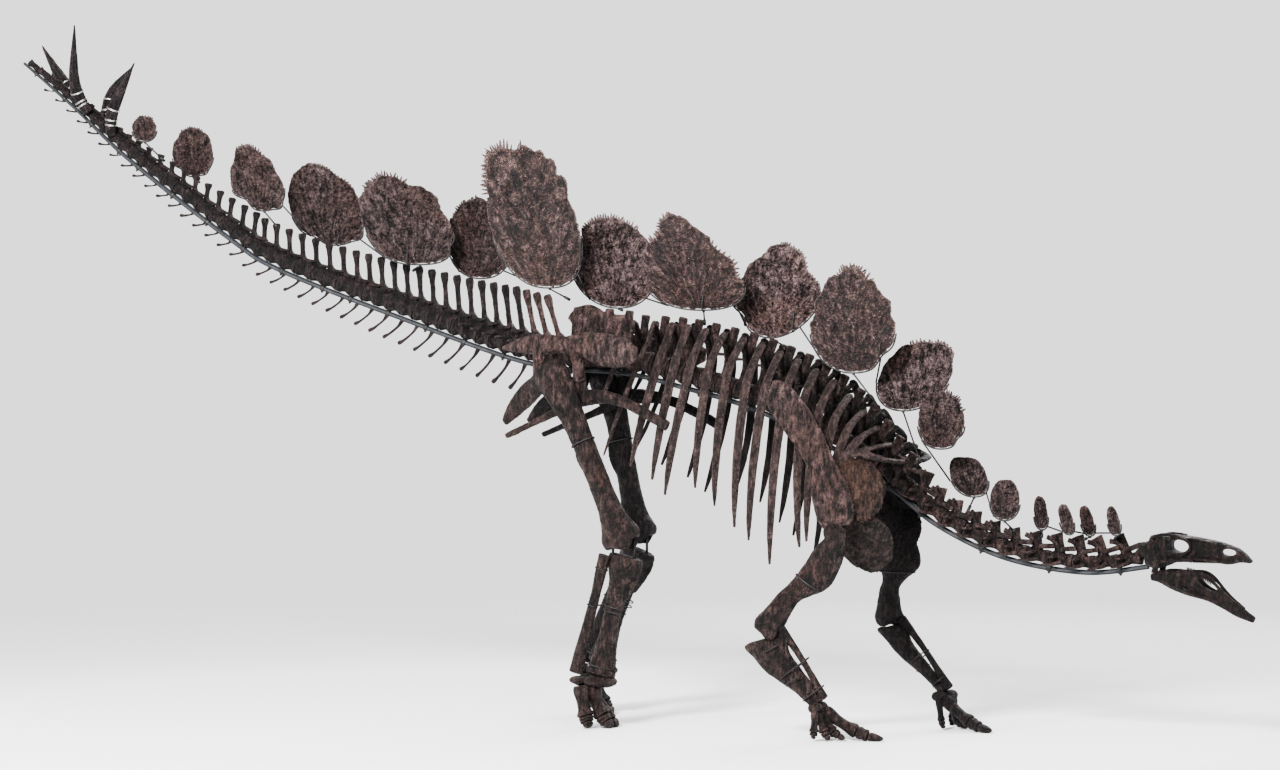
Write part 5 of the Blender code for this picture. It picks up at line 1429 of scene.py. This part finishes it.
@dataclass
class Head(Assembly):
    """The long narrow skull with its teeth and the hanging lower jaw."""

    rows: Table = (
        (2.334, 0.728, 0.02, 0.018), (2.366, 0.744, 0.046, 0.034), (2.392, 0.742, 0.058, 0.062),
        (2.44, 0.752, 0.064, 0.062), (2.5, 0.762, 0.06, 0.049), (2.56, 0.758, 0.05, 0.046),
        (2.63, 0.75, 0.042, 0.042), (2.69, 0.738, 0.036, 0.038), (2.735, 0.731, 0.028, 0.024),
        (2.777, 0.712, 0.014, 0.006))
    jaw: Table = (
        (2.4, 0.054, 0.648, 0.008, 0.012), (2.44, 0.055, 0.652, 0.009, 0.026), (2.5, 0.052, 0.638, 0.009, 0.04),
        (2.56, 0.044, 0.621, 0.009, 0.044), (2.62, 0.033, 0.596, 0.008, 0.036), (2.68, 0.021, 0.555, 0.008, 0.024),
        (2.73, 0.012, 0.522, 0.009, 0.02), (2.785, 0.003, 0.494, 0.004, 0.012))
    cheek: Table = (
        (2.425, 0.05, 0.735, 0.01, 0.022), (2.418, 0.052, 0.69, 0.009, 0.013), (2.412, 0.052, 0.664, 0.011, 0.013))
    bars: Tuple[Tuple[float, Table], ...] = (
        (0.0065, ((2.4, 0.052, 0.8), (2.45, 0.058, 0.812), (2.51, 0.056, 0.806))),
        (0.0045, ((2.52, 0.046, 0.8), (2.61, 0.034, 0.786), (2.72, 0.02, 0.752))),
        (0.0075, ((2.412, 0.056, 0.704), (2.47, 0.06, 0.714), (2.56, 0.048, 0.716))),
        (0.005, ((2.55, 0.046, 0.722), (2.64, 0.037, 0.716), (2.7, 0.03, 0.708))),
        (0.0065, ((2.455, 0.062, 0.8), (2.452, 0.064, 0.76), (2.462, 0.061, 0.718))))
    jaw_bars: Tuple[Tuple[float, Table], ...] = (
        (0.007, ((2.44, 0.06, 0.64), (2.52, 0.056, 0.604), (2.64, 0.034, 0.562))),
        (0.0085, ((2.52, 0.052, 0.664), (2.575, 0.046, 0.668), (2.62, 0.036, 0.648), (2.68, 0.022, 0.584),
                  (2.745, 0.01, 0.532))),
        (0.0055, ((2.47, 0.058, 0.662), (2.53, 0.056, 0.64), (2.585, 0.048, 0.606))))
    jaw_tip: Table = (
        (2.69, 0.0, 0.54, 0.018, 0.014), (2.745, 0.0, 0.512, 0.014, 0.016), (2.788, 0.0, 0.492, 0.004, 0.012))
    jaw_joint: Table = ((2.412, -0.052, 0.656, 0.008, 0.008), (2.412, 0.052, 0.656, 0.008, 0.008))
    eye: Row = (2.502, 0.768, 0.046, 0.026)
    nostril: Row = (2.69, 0.747, 0.034, 0.014)
    window: Row = (2.425, 0.758, 0.014, 0.022)
    jaw_windows: Table = ((2.613, 0.626, 0.046, 0.0135, -0.62), (2.53, 0.614, 0.022, 0.0055, -0.45))
    teeth: int = 20

    def build(self) -> None:
        """Make the skull, the jaw and both rows of teeth."""
        openings = [self.hole(*sizes) for sizes in (self.eye, self.nostril, self.window)]
        self.mount.add("skull_bone", self.skull(), SKULL_BONE, ["skull"], FINE_RELIEF, openings)
        self.mount.add("jaw_bone", self.jaw_shapes(), SKULL_BONE, ["lower_jaw"], FINE_RELIEF,
                       [self.hole(*sizes) for sizes in self.jaw_windows])
        upper = [Vector((2.545 + 0.0058 * k, sign * 0.026, 0.72)) for sign in BOTH for k in range(self.teeth)]
        self.mount.add("upper_teeth", [self.tooth(root, -0.016) for root in upper], SKULL_BONE, ["skull"])
        line = spline(self.jaw, 70)[22:22 + self.teeth]
        lower = [Vector((x, sign * y, z + deep - 0.004)) for sign in BOTH for x, y, z, _, deep in line]
        self.mount.add("lower_teeth", [self.tooth(root, 0.012) for root in lower], SKULL_BONE, ["lower_jaw"])

    @staticmethod
    def hole(x: float, z: float, wide: float, tall: float, slope: float = 0.0) -> Shape:
        """A window right through the head, long way along the slope."""
        return loft([(x, side, z, wide, tall) for side in (-0.2, 0.2)], 24, 0, Vector((1.0, 0.0, slope)))

    @staticmethod
    def tooth(root: Vector, reach: float) -> Shape:
        """A small leaf-shaped tooth."""
        return loft([(root.x, root.y, root.z + reach * share, 0.0016 * size, 0.0024 * size)
                     for share, size in ((0.0, 0.8), (0.5, 1.1), (0.8, 0.8), (1.0, 0.25))], 8)

    def skull(self) -> Shapes:
        """Shape the skull with its rims, bars and ridges.

        Returns:
            Overlapping shapes.
        """
        shapes = [loft([(x, 0.0, z, half, deep) for x, z, half, deep in self.rows], 28, 54, AXIS_Y, 0.8)]
        for sign in BOTH:
            shapes.append(loft(mirrored(self.cheek, sign), 12, 8))
            for (x, z, wide, tall), side, thick in ((self.eye, 0.056, 0.0062), (self.nostril, 0.03, 0.004)):
                rim = [Vector((x + (wide + 0.005) * math.cos(TURN * k / 28), sign * side,
                               z + (tall + 0.005) * math.sin(TURN * k / 28))) for k in range(28)]
                shapes.append(tube(rim, thick, 8, True))
            shapes += [tube(curve(mirrored(path, sign), 12), thick, 10) for thick, path in self.bars]
        return shapes

    def jaw_shapes(self) -> Shapes:
        """Shape the lower jaw.

        Returns:
            Overlapping shapes.
        """
        shapes = []
        for sign in BOTH:
            shapes.append(loft([(x, sign * y, z, a * 1.1, b) for x, y, z, a, b in self.jaw], 16, 42))
            shapes += [tube(curve(mirrored(path, sign), 16), thick, 10) for thick, path in self.jaw_bars]
        return shapes + [loft(self.jaw_tip, 14, 10), loft(self.jaw_joint, 12, 0, AXIS_X)]


@dataclass
class Spikes(Assembly):
    """The four tail spikes: name, root, two bends and tip."""

    routes: Tuple[Tuple[str, Triple, Triple, Triple, Triple], ...] = (
        ("rear_right", (-2.44, -0.03, 2.58), (-2.476, -0.048, 2.65), (-2.466, -0.1, 2.735),
         (-2.362, -0.25, 2.941)),
        ("rear_left", (-2.545, 0.028, 2.655), (-2.592, 0.042, 2.697), (-2.662, 0.066, 2.765),
         (-2.798, 0.135, 2.904)),
        ("front_right", (-2.322, -0.032, 2.478), (-2.304, -0.045, 2.57), (-2.262, -0.06, 2.64),
         (-2.134, -0.13, 2.777)),
        ("front_left", (-2.39, 0.032, 2.53), (-2.388, 0.05, 2.615), (-2.378, 0.085, 2.69),
         (-2.348, 0.17, 2.79)))
    thick: Row = (0.022, 0.027, 0.023, 0.0025)
    flutes: int = 9
    flute_depth: float = 0.055
    steps: int = 60
    sides: int = 36
    bands: Row = (0.16, 0.24, 0.42)

    def build(self) -> None:
        """Make the spikes with the pale wire wound round them."""
        for name, *route in self.routes:
            rows = spline([(*point, radius) for point, radius in zip(route, self.thick)], self.steps)
            points = [Vector(row[:3]) for row in rows]
            rings = []
            for index, row in enumerate(rows):
                line = (points[min(index + 1, self.steps)] - points[max(index - 1, 0)]).normalized()
                ring = section(points[index], line, AXIS_Y, row[3] * 0.85, row[3], self.sides)
                rings.append([points[index] + (corner - points[index]) * self.flute(k)
                              for k, corner in enumerate(ring)])
            self.mount.add("spike_" + name, [skin(rings)], TAIL_BONE, ["tail_spike_" + name], SPIKE_RELIEF)
            hoops = []
            for share in self.bands:
                index = round(share * self.steps)
                line = (points[index + 1] - points[index - 1]).normalized()
                for turn in range(3):
                    centre = points[index] + line * (0.0026 * turn)
                    thick = rows[index][3]
                    hoop = section(centre, line, AXIS_Y, thick * 0.9 + 0.002, thick * 1.03 + 0.002, 24)
                    hoops.append(tube(hoop, 0.0011, 6, True))
            self.mount.add("spike_wire_" + name, hoops, PALE_WIRE, ["tail_spike_" + name])

    def flute(self, corner: int) -> float:
        """How far a corner stands out where grooves run along the spike."""
        return 1.0 + self.flute_depth * math.cos(self.flutes * TURN * corner / self.sides)


CUTS: Table = (
    (1, 232, 30, 0.16), (1, 302, 18, -0.07), (2, 138, 24, 0.11), (2, 226, 32, 0.22), (2, 304, 18, -0.09),
    (3, 56, 30, 0.09), (3, 238, 26, 0.11), (3, 312, 18, -0.09), (4, 62, 28, 0.16), (4, 325, 18, 0.07),
    (6, 148, 26, 0.05), (6, 70, 24, 0.06), (6, 14, 18, -0.06), (7, 148, 24, 0.1), (8, 22, 20, -0.09),
    (8, 124, 20, 0.07), (9, 34, 22, 0.11), (9, 216, 26, 0.13), (10, 48, 24, 0.07), (10, 314, 24, 0.1),
    (12, 316, 24, 0.1))
SPINES: Table = (
    (0, 20, 160, 0.006), (1, 50, 125, 0.008), (2, 50, 115, 0.013), (3, 25, 95, 0.007), (4, 72, 145, 0.021),
    (5, 90, 150, 0.013), (6, 86, 168, 0.032), (7, 45, 130, 0.018), (8, 4, 42, 0.019), (8, 92, 138, 0.021),
    (9, 15, 95, 0.009), (10, 58, 118, 0.022), (11, 45, 118, 0.015), (12, 15, 105, 0.015))


@dataclass
class Plate:
    """One bone plate: place and size of its outline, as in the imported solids.

    Cuts name a plate, the angle and half length of a stretch in degrees and the share cut off there. Spines name
    a plate, the angles where its thin spikes start and end and how far they reach.
    """

    index: int
    sizes: Row
    base_side: float = 0.058
    splay: float = 0.1
    rim: float = 0.0022
    thin: float = 0.004
    body: float = 0.01
    seed: int = 411
    facet: float = 0.0066
    rings: int = 30

    def __post_init__(self) -> None:
        """Name the sizes and draw the teeth."""
        self.x, self.z, self.half, self.rise, self.drop, self.lean, self.full_up, self.full_down = self.sizes[:8]
        self.teeth = self.sizes[8]
        self.sign = -1.0 if self.index % 2 == 0 else 1.0
        self.thick = self.thin + (self.body - self.thin) * min(self.half / 0.15, 1.0)
        draw = random.Random(self.seed + self.index)
        self.pulls = [self.teeth * (0.4 + 0.6 * draw.random()) if k % 2 else 0.0
                      for k in range(int(self.sizes[9]) // 2)] + [0.0]

    def place(self, s: float, t: float, d: float) -> Vector:
        """Where a point of the plate lies: along, up and through it."""
        return Vector((self.x + s, self.sign * (self.base_side + self.splay * (t + self.drop)) + d, self.z + t))

    def trim(self, angle: float) -> float:
        """The share cut off the oval at an angle."""
        share = 0.0
        for plate, middle, stretch, depth in CUTS:
            away = abs(math.degrees(angle) % 360.0 - middle) / stretch
            if plate == self.index and away < 1.0:
                share += depth * math.cos(0.5 * math.pi * away) ** 2
        return share

    def edge(self, angle: float, toothed: bool) -> Tuple[float, float]:
        """Find a point of the outline.

        Args:
            angle: direction from the middle, from the front over the top.
            toothed: true for the rim itself, false for the even oval inside it.

        Returns:
            Its place along and its height, against the middle of the plate.
        """
        c, s = math.cos(angle), math.sin(angle)
        top = s >= 0.0
        power = 2.0 / (self.full_up if top else self.full_down)
        x = self.half * math.copysign(abs(c) ** power, c)
        z = (self.rise if top else self.drop) * math.copysign(abs(s) ** power, s)
        size = 1.0 - self.trim(angle)
        if toothed:
            pull = 0.0
            if top:
                place = (angle % TURN) / math.pi * (len(self.pulls) - 1)
                k = min(int(place), len(self.pulls) - 2)
                pull = self.pulls[k] + (self.pulls[k + 1] - self.pulls[k]) * (place - k)
            spot = Vector((self.x + x, z, 0.37 * self.index))
            fine = 0.6 * noise.noise(spot * 45.0) + 0.5 * noise.noise(spot * 110.0)
            pull += (0.32 * self.teeth + 0.003) * (fine + 0.1)
            for plate, start, end, reach in SPINES:
                if plate == self.index and start <= math.degrees(angle) % 360.0 <= end:
                    pull = 0.55 * pull + 0.7 * reach
            size -= pull / max(math.hypot(x, z), 0.02)
        return size * (x + self.lean * z), size * z

    def spines(self) -> Tuple[Shapes, List[Triple]]:
        """Shape the thin bony spikes that stand out from parts of the rim.

        Returns:
            Closed shapes and the place of each corner in the pattern of veins.
        """
        draw = random.Random(self.seed + 100 + self.index)
        shapes: List[Shape] = []
        grain: List[Triple] = []
        for plate, start, end, reach in SPINES:
            angle = math.radians(start)
            while plate == self.index and angle < math.radians(end):
                s, t = self.edge(angle, True)
                ahead_s, ahead_t = self.edge(angle + 0.02, False)
                behind_s, behind_t = self.edge(angle - 0.02, False)
                out = Vector((ahead_t - behind_t, behind_s - ahead_s)).normalized()
                out = (out + Vector((-out.y, out.x)) * draw.uniform(-0.35, 0.35)).normalized()
                length = reach * draw.uniform(0.55, 1.25)
                wide = draw.uniform(0.0042, 0.0066)
                rows = []
                for share, size in ((-0.5, 1.0), (0.15, 0.9), (0.6, 0.65), (0.9, 0.38), (1.0, 0.12)):
                    place = self.place(s + out.x * length * share, t + out.y * length * share, 0.0)
                    rows.append((*place, 0.0032 * size, wide * size))
                shapes.append(loft(rows, 8))
                grain += [self.vein(s, t)] * (8 * len(rows))
                angle += draw.uniform(0.01, 0.015) / max(math.hypot(s, t), 0.03)
        return shapes, grain

    def mesh(self) -> Tuple[Shape, np.ndarray]:
        """Shape the plate: toothed rim, thick middle, shallow grooves and pits.

        Returns:
            A closed shape and the place of each corner in the pattern of veins.
        """
        girth = math.pi * (self.half + (self.rise + self.drop) / 2.0)
        around = max(48, int(girth / self.facet))
        rings = max(8, int(self.rings * min(self.half / 0.15, 1.0)))
        rim = [self.edge(TURN * k / around, True) for k in range(around)]
        core = [self.edge(TURN * k / around, False) for k in range(around)]
        verts: List[Vector] = []
        grain: List[Triple] = []
        for face in BOTH:
            for ring in range(rings):
                share = 1.0 - ring / rings
                for (rim_s, rim_t), (core_s, core_t) in zip(rim, core):
                    blend = max(0.0, (share - 0.6) / 0.4)
                    s = share * (core_s + (rim_s - core_s) * blend)
                    t = share * (core_t + (rim_t - core_t) * blend)
                    verts.append(self.place(s, t, self.offset(s, t, share, face)))
                    grain.append(self.vein(s, t))
            verts.append(self.place(0.0, 0.0, self.offset(0.0, 0.0, 0.0, face)))
            grain.append(self.vein(0.0, 0.0))
        half = rings * around + 1
        faces: List[Tuple[int, ...]] = []
        for ring in range(rings - 1):
            for k in range(around):
                a, b = ring * around + k, ring * around + (k + 1) % around
                faces.append((a, b, b + around, a + around))
                faces.append((half + a, half + a + around, half + b + around, half + b))
        last = (rings - 1) * around
        for k in range(around):
            n = (k + 1) % around
            faces.append((last + k, last + n, half - 1))
            faces.append((half + last + n, half + last + k, 2 * half - 1))
            faces.append((n, k, half + k, half + n))
        return (verts, faces), np.array(grain, np.float32)

    def offset(self, s: float, t: float, share: float, face: float) -> float:
        """How far a point of one face lies from the middle of the plate.

        Args:
            s: its place along.
            t: its height.
            share: 1 at the rim and 0 in the middle.
            face: -1 or 1 for the two faces.

        Returns:
            The distance, with its sign.
        """
        inward = min((1.0 - share) / 0.42, 1.0)
        thick = self.rim + (self.thick * 1.1 - self.rim) * inward * (2.0 - inward)
        thick *= 1.0 + 0.25 * max(0.0, -t / self.drop) * inward
        spot = Vector((self.x + s, t, 3.0 * face))
        grooves = noise.noise(Vector(self.vein(s, t)) * 0.55 + Vector((0.0, 0.0, face)))
        ridges = 0.5 - abs(noise.noise(spot * 21.0))
        uneven = 0.005 * noise.noise(spot * 9.0) + 0.0034 * noise.noise(spot * 34.0)
        uneven += 0.0044 * grooves + 0.0075 * ridges - 0.003
        bend = 0.003 * noise.noise(Vector((self.x + s, t, 0.0)) * 5.0) * (self.half / 0.2)
        return face * max(thick + uneven * inward * min(self.half / 0.12, 1.0), 0.4 * thick) + bend

    def vein(self, s: float, t: float) -> Triple:
        """Place in the pattern of veins, which fan out from the base of the plate."""
        rise = t + 1.35 * self.drop
        return (9.0 * math.atan2(s - self.lean * t * 0.5, rise), 11.0 * math.hypot(s, rise), float(self.index))

    def cradle(self, lower: float = 0.0) -> List[Vector]:
        """Follow the wire just below the lower rim.

        Args:
            lower: an extra step away from the rim.

        Returns:
            Points from the rear end to the front end.
        """
        steps = 36
        rim = [self.edge(math.pi + math.pi * (0.06 + 0.88 * k / steps), False) for k in range(steps + 1)]
        points = []
        for k, (s, t) in enumerate(rim):
            before, after = rim[max(k - 1, 0)], rim[min(k + 1, steps)]
            step = Vector((after[0] - before[0], after[1] - before[1])).normalized()
            reach = 0.0032 + GAP + lower
            points.append(self.place(s + step.y * reach, t - step.x * reach, 0.0))
        return points


@dataclass
class Plates(Assembly):
    """The plates from the tail to the neck, and the thin steel rods that carry them."""

    rows: Table = (
        (-2.125, 2.5, 0.062, 0.058, 0.056, 0.0, 2.2, 2.2, 0.01, 14),
        (-1.96, 2.395, 0.104, 0.118, 0.1, -0.1, 2.1, 2.2, 0.01, 18),
        (-1.552, 2.245, 0.13, 0.172, 0.115, -0.28, 1.8, 2.2, 0.012, 20),
        (-1.293, 2.14, 0.178, 0.2, 0.158, -0.36, 2.0, 2.2, 0.008, 22),
        (-0.822, 2.07, 0.208, 0.208, 0.182, -0.34, 2.1, 2.7, 0.02, 28),
        (-0.55, 1.99, 0.15, 0.185, 0.16, -0.14, 2.1, 2.3, 0.016, 24),
        (-0.22, 2.06, 0.204, 0.325, 0.277, -0.24, 3.0, 2.4, 0.028, 36),
        (0.073, 1.88, 0.194, 0.21, 0.18, -0.2, 2.0, 2.1, 0.02, 28),
        (0.5, 1.8, 0.218, 0.285, 0.115, -0.35, 1.5, 2.3, 0.024, 32),
        (0.803, 1.745, 0.194, 0.215, 0.172, 0.1, 1.6, 1.8, 0.016, 26),
        (1.192, 1.625, 0.182, 0.237, 0.194, 0.02, 1.65, 2.2, 0.02, 28),
        (1.4, 1.415, 0.152, 0.15, 0.134, 0.34, 2.4, 2.1, 0.014, 22),
        (1.56, 1.245, 0.096, 0.118, 0.112, 0.05, 2.4, 2.3, 0.012, 18),
        (1.625, 1.022, 0.076, 0.078, 0.078, -0.32, 2.6, 2.3, 0.004, 12),
        (1.82, 0.936, 0.06, 0.08, 0.078, 0.05, 2.2, 2.2, 0.003, 12),
        (1.922, 0.884, 0.027, 0.064, 0.064, -0.12, 2.3, 2.6, 0.002, 10),
        (2.066, 0.866, 0.027, 0.058, 0.058, -0.2, 2.3, 2.4, 0.002, 10),
        (2.11, 0.855, 0.027, 0.057, 0.056, -0.26, 2.3, 2.4, 0.002, 10),
        (2.255, 0.862, 0.024, 0.056, 0.054, -0.16, 2.3, 2.4, 0.002, 10))
    wire: float = 0.0032
    join: float = 0.0034
    link_from: float = 0.75
    link_to: float = 0.25
    shiny: Tuple[int, ...] = (6, 8, 10)
    # Plates in shade that are painted lighter with a lighter copy of the dull finish.
    painted_light_plates: Tuple[int, ...] = (7, 9, 11)
    rear_linked: Table = ((11, 0.75), (13, 0.2))
    runs: Tuple[Tuple[str, int, int, Table], ...] = (
        ("plate_wires_tail_tip", 0, 1, ((0, -2.13),)), ("plate_wires_tail", 1, 2, ((1, -1.965),)),
        ("plate_wires_back", 2, 15, (
            (2, -1.56), (4, -0.9), (6, -0.12), (7, 0.12), (8, 0.45), (9, 0.78), (10, 1.18), (11, 1.35), (13, 1.59),
            (14, 1.81))),
        ("plate_wires_neck", 15, 19, ((15, 1.925), (17, 2.11), (18, 2.255))))
    prongs: Table = (
        (3, 0.55, 0.045), (4, 0.45, 0.08), (6, 0.85, 0.1), (8, 0.5, 0.06), (9, 0.25, 0.065), (9, 0.7, 0.08),
        (10, 0.75, 0.06), (11, 0.8, 0.07))

    def build(self) -> None:
        """Make every plate and every run of wire."""
        plates = [Plate(index, sizes) for index, sizes in enumerate(self.rows)]
        for plate in plates:
            finish = PLATE_SHINY if plate.index in self.shiny else PLATE_DULL
            # Plates in shade take the lighter copy of the dull finish, which paints light on them.
            finish = PLATE_PAINTED_LIGHT if plate.index in self.painted_light_plates else finish
            shape, veins = plate.mesh()
            spines, more = plate.spines()
            grain = np.concatenate((veins, np.array(more, np.float32).reshape(-1, 3)))
            self.mount.add("bone_plate_%02d" % (plate.index + 1), [shape, *spines], finish,
                           ["plate_%02d" % (plate.index + 1)], grain=grain)
        for name, first, last, stalks in self.runs:
            shapes = [tube(plate.cradle(), self.wire, 10) for plate in plates[first:last]]
            shapes += [self.link(plates, index) for index in range(first, last - 1)]
            for index, x in stalks:
                shapes += self.stalk(plates[int(index)], x)
            for index, share, height in self.prongs:
                if first <= index < last:
                    shapes += self.prong(plates[int(index)], share, height)
            self.mount.add("steel_" + name, shapes, WIRE_BLACK, [name])

    def link(self, plates: List[Plate], index: int) -> Shape:
        """Run a wire from one cradle to the next.

        Args:
            plates: all the plates.
            index: the plate behind.

        Returns:
            A closed shape.
        """
        here, ahead = plates[index].cradle(self.join), plates[index + 1].cradle(self.join)
        rear = dict(self.rear_linked)
        start = rear.get(index + 1, self.link_from)
        end = 0.0 if index + 1 in rear else self.link_to
        return tube([here[round(start * (len(here) - 1))], ahead[round(end * (len(ahead) - 1))]], self.wire, 10)

    def stalk(self, plate: Plate, x: float) -> Shapes:
        """Run a wire from the middle of a cradle to the bone below, with a small foot on the bone.

        Args:
            plate: the plate that it carries.
            x: place of the bone along x.

        Returns:
            Closed shapes.
        """
        points = plate.cradle(self.join)
        top = points[len(points) // 2]
        foot = BACK.along(BACK.at_x(x), 0.0, between(BACK.spine_tops, x) - 0.012)
        away = (top - foot).normalized()
        return [
            tube([top, foot], self.wire, 10), tube([foot - away * 0.004, foot + away * 0.022], self.wire * 1.9, 12),
            ball(top, (self.wire * 1.8,) * 3, 10)]

    def prong(self, plate: Plate, share: float, height: float) -> Shapes:
        """Run a short wire with a bent tip up the right face of a plate.

        Args:
            plate: the plate.
            share: place along its cradle.
            height: how far it reaches up.

        Returns:
            Closed shapes.
        """
        points = plate.cradle(self.join)
        start = points[int(share * (len(points) - 1))]
        s, t = start.x - plate.x, start.z - plate.z
        clear = -(plate.thick * 1.3 + self.wire)
        path = [start, plate.place(s, t + 0.002, clear * 0.8), plate.place(s, t + 0.016, clear),
                plate.place(s + 0.004, t + height * 0.8, clear), plate.place(s + 0.005, t + height, clear * 0.75)]
        return [tube(curve(path, 20), self.wire * 0.9, 10), ball(path[-1], (self.wire * 1.5,) * 3, 10)]


@dataclass
class Rod(Assembly):
    """The steel rod below the backbone with its clamps and bolts."""

    sides: int = 8
    steps: int = 260
    clamp_every: int = 3

    def build(self) -> None:
        """Make the rod, its clamps and the bolts in them."""
        angles = [TURN * (corner + 0.5) / self.sides for corner in range(self.sides)]
        rings = []
        for step in range(self.steps + 1):
            length = BACK.lengths[-1] * step / self.steps
            point, _, up = BACK.frame(length)
            radius = BACK.rod_radius(length)
            rings.append([point + AXIS_Y * (radius * math.cos(angle)) + up * (radius * math.sin(angle))
                          for angle in angles])
        self.mount.add("steel_rod", [skin(rings)], ROD_STEEL, ["spine_rod"]).data.shade_flat()
        stops = [length for stretch in BACK.stretches() for length in stretch][1::self.clamp_every]
        clamps = [shape for length in stops for shape in self.clamp(length)]
        self.mount.add("rod_clamps", clamps, WIRE_BLACK, ["spine_rod"])

    def clamp(self, length: float) -> Shapes:
        """Make one clamp: a sleeve round the rod and a bolt below it.

        Args:
            length: its place, from the tail tip.

        Returns:
            Closed shapes.
        """
        point, forward, up = BACK.frame(length)
        radius = BACK.rod_radius(length)
        sleeve = [(*(point + forward * step), radius * size, radius * size)
                  for step, size in ((-0.009, 1.12), (-0.007, 1.25), (0.007, 1.25), (0.009, 1.12))]
        low = point - up * radius
        bolt = [(*(low - up * step), radius * size, radius * size)
                for step, size in ((0.0, 0.5), (0.006, 0.5), (0.007, 0.34), (0.01, 0.3))]
        return [loft(sleeve, 16), loft(bolt, 6)]


@dataclass
class Studio:
    """Pale floor, soft light and the camera at the photograph's place."""

    distance: float = 14.0
    height: float = 1.38
    aim_x: float = 0.23
    azimuth: float = 25.0
    focus_pixels: float = 3426.0
    picture_width: float = 1280.0
    sensor: float = 36.0
    floor_reach: float = 9.0
    contrast: str = "AgX - High Contrast"
    lamp_aim: float = 1.2
    lamps: Tuple[Tuple[str, Triple, float, float], ...] = (
        ("key", (0.5, -10.0, 7.0), 2.4, 3300.0), ("low", (-5.0, -11.0, 2.6), 2.0, 1100.0),
        ("fill", (8.0, -8.0, 3.0), 2.5, 450.0), ("back", (1.0, 8.0, 7.0), 5.0, 500.0))

    def build(self, shift: Vector) -> None:
        """Set up camera, floor, lights and surroundings.

        Args:
            shift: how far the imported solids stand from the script's own middle.
        """
        turn = math.radians(self.azimuth)
        look = Vector((-math.sin(turn), math.cos(turn), 0.0))
        lens = bpy.data.cameras.new("camera")
        lens.sensor_width = self.sensor
        lens.lens = self.focus_pixels / self.picture_width * self.sensor
        lens.clip_end = 200.0
        place = Vector((self.aim_x, 0.0, self.height)) - look * self.distance + shift
        bpy.context.scene.camera = self.hang("camera", lens, place, look)
        self.floor()
        for name, place, size, energy in self.lamps:
            lamp = bpy.data.lights.new(name, "AREA")
            lamp.size, lamp.energy = size, energy
            self.hang(name, lamp, Vector(place), Vector((0.0, 0.0, self.lamp_aim)) - Vector(place))
        world = bpy.data.worlds.new("studio")
        world.use_nodes = True
        backdrop = world.node_tree.nodes["Background"]
        backdrop.inputs["Color"].default_value = (1.0, 1.0, 1.0, 1.0)
        backdrop.inputs["Strength"].default_value = 1.0
        bpy.context.scene.world = world
        bpy.context.scene.view_settings.look = self.contrast

    def floor(self) -> None:
        """Lay a pale round floor that fades out towards its edge."""
        rings = [[Vector((reach * math.cos(TURN * k / 64), reach * math.sin(TURN * k / 64), z)) for k in range(64)]
                 for reach, z in ((0.01, 0.0), (self.floor_reach, 0.0), (self.floor_reach, -0.02), (0.01, -0.02))]
        floor = bpy.data.objects.new("floor", mesh_of("floor", [skin(rings)]))
        bpy.context.scene.collection.objects.link(floor)
        g = Graph("pale_floor")
        far = g.add("ShaderNodeVectorMath", {0: g.place}, operation="LENGTH").outputs["Value"]
        grain = g.noise(60.0, 4.0)
        clear = g.fade(far, 0.3 * self.floor_reach, 0.95 * self.floor_reach, 1.0, 0.0)
        g.tree.links.new(clear, g.shader.inputs["Alpha"])
        g.surface(g.mix(g.fade(grain, 0.3, 0.7), (0.62, 0.62, 0.62), (0.66, 0.66, 0.66)),
                  g.fade(grain, 0.3, 0.7, 0.6, 0.7), grain, 0.0005, 0.2)
        floor.data.materials.append(g.material)

    @staticmethod
    def hang(name: str, data: bpy.types.ID, place: Vector, look: Vector) -> bpy.types.Object:
        """Hang the camera or a lamp.

        Args:
            name: its name.
            data: its settings.
            place: where it hangs.
            look: the direction that it faces.

        Returns:
            The object.
        """
        thing = bpy.data.objects.new(name, data)
        thing.location = place
        thing.rotation_euler = look.to_track_quat("-Z", "Y").to_euler()
        bpy.context.scene.collection.objects.link(thing)
        return thing


def main() -> None:
    """Make the skeleton, its mount and the studio."""
    logging.basicConfig(level=logging.INFO, format="%(name)s: %(message)s")
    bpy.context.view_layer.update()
    mount = Mount.from_rod("spine_rod")
    Studio().build(mount.shift)
    for group in (Rod, Tail, Sacrum):
        group(mount).build()
    for side in Side:
        Hip(mount, side).build()
    for group in (Trunk, Neck, Head, Spikes, Plates):
        group(mount).build()
    HindLimb(mount, Side.RIGHT, (0.28, 0.255, 0.735), (0.152, 0.255, 0.2)).build()
    HindLimb(mount, Side.LEFT, (0.11, 0.25, 0.735), (-0.085, 0.25, 0.2)).build()
    ForeLimb(mount, Side.RIGHT, (0.945, 0.362, 0.41), (1.148, 0.33, 0.145), 0.1, 1.0, 1.0).build()
    ForeLimb(mount, Side.LEFT, (1.204, 0.325, 0.42), (1.44, 0.3, 0.15), 0.3, 1.3, 0.62).build()
    for side in Side:
        Shoulder(mount, side).build()
    log.info("%d pieces", mount.pieces)


if __name__ == "__main__":
    main()
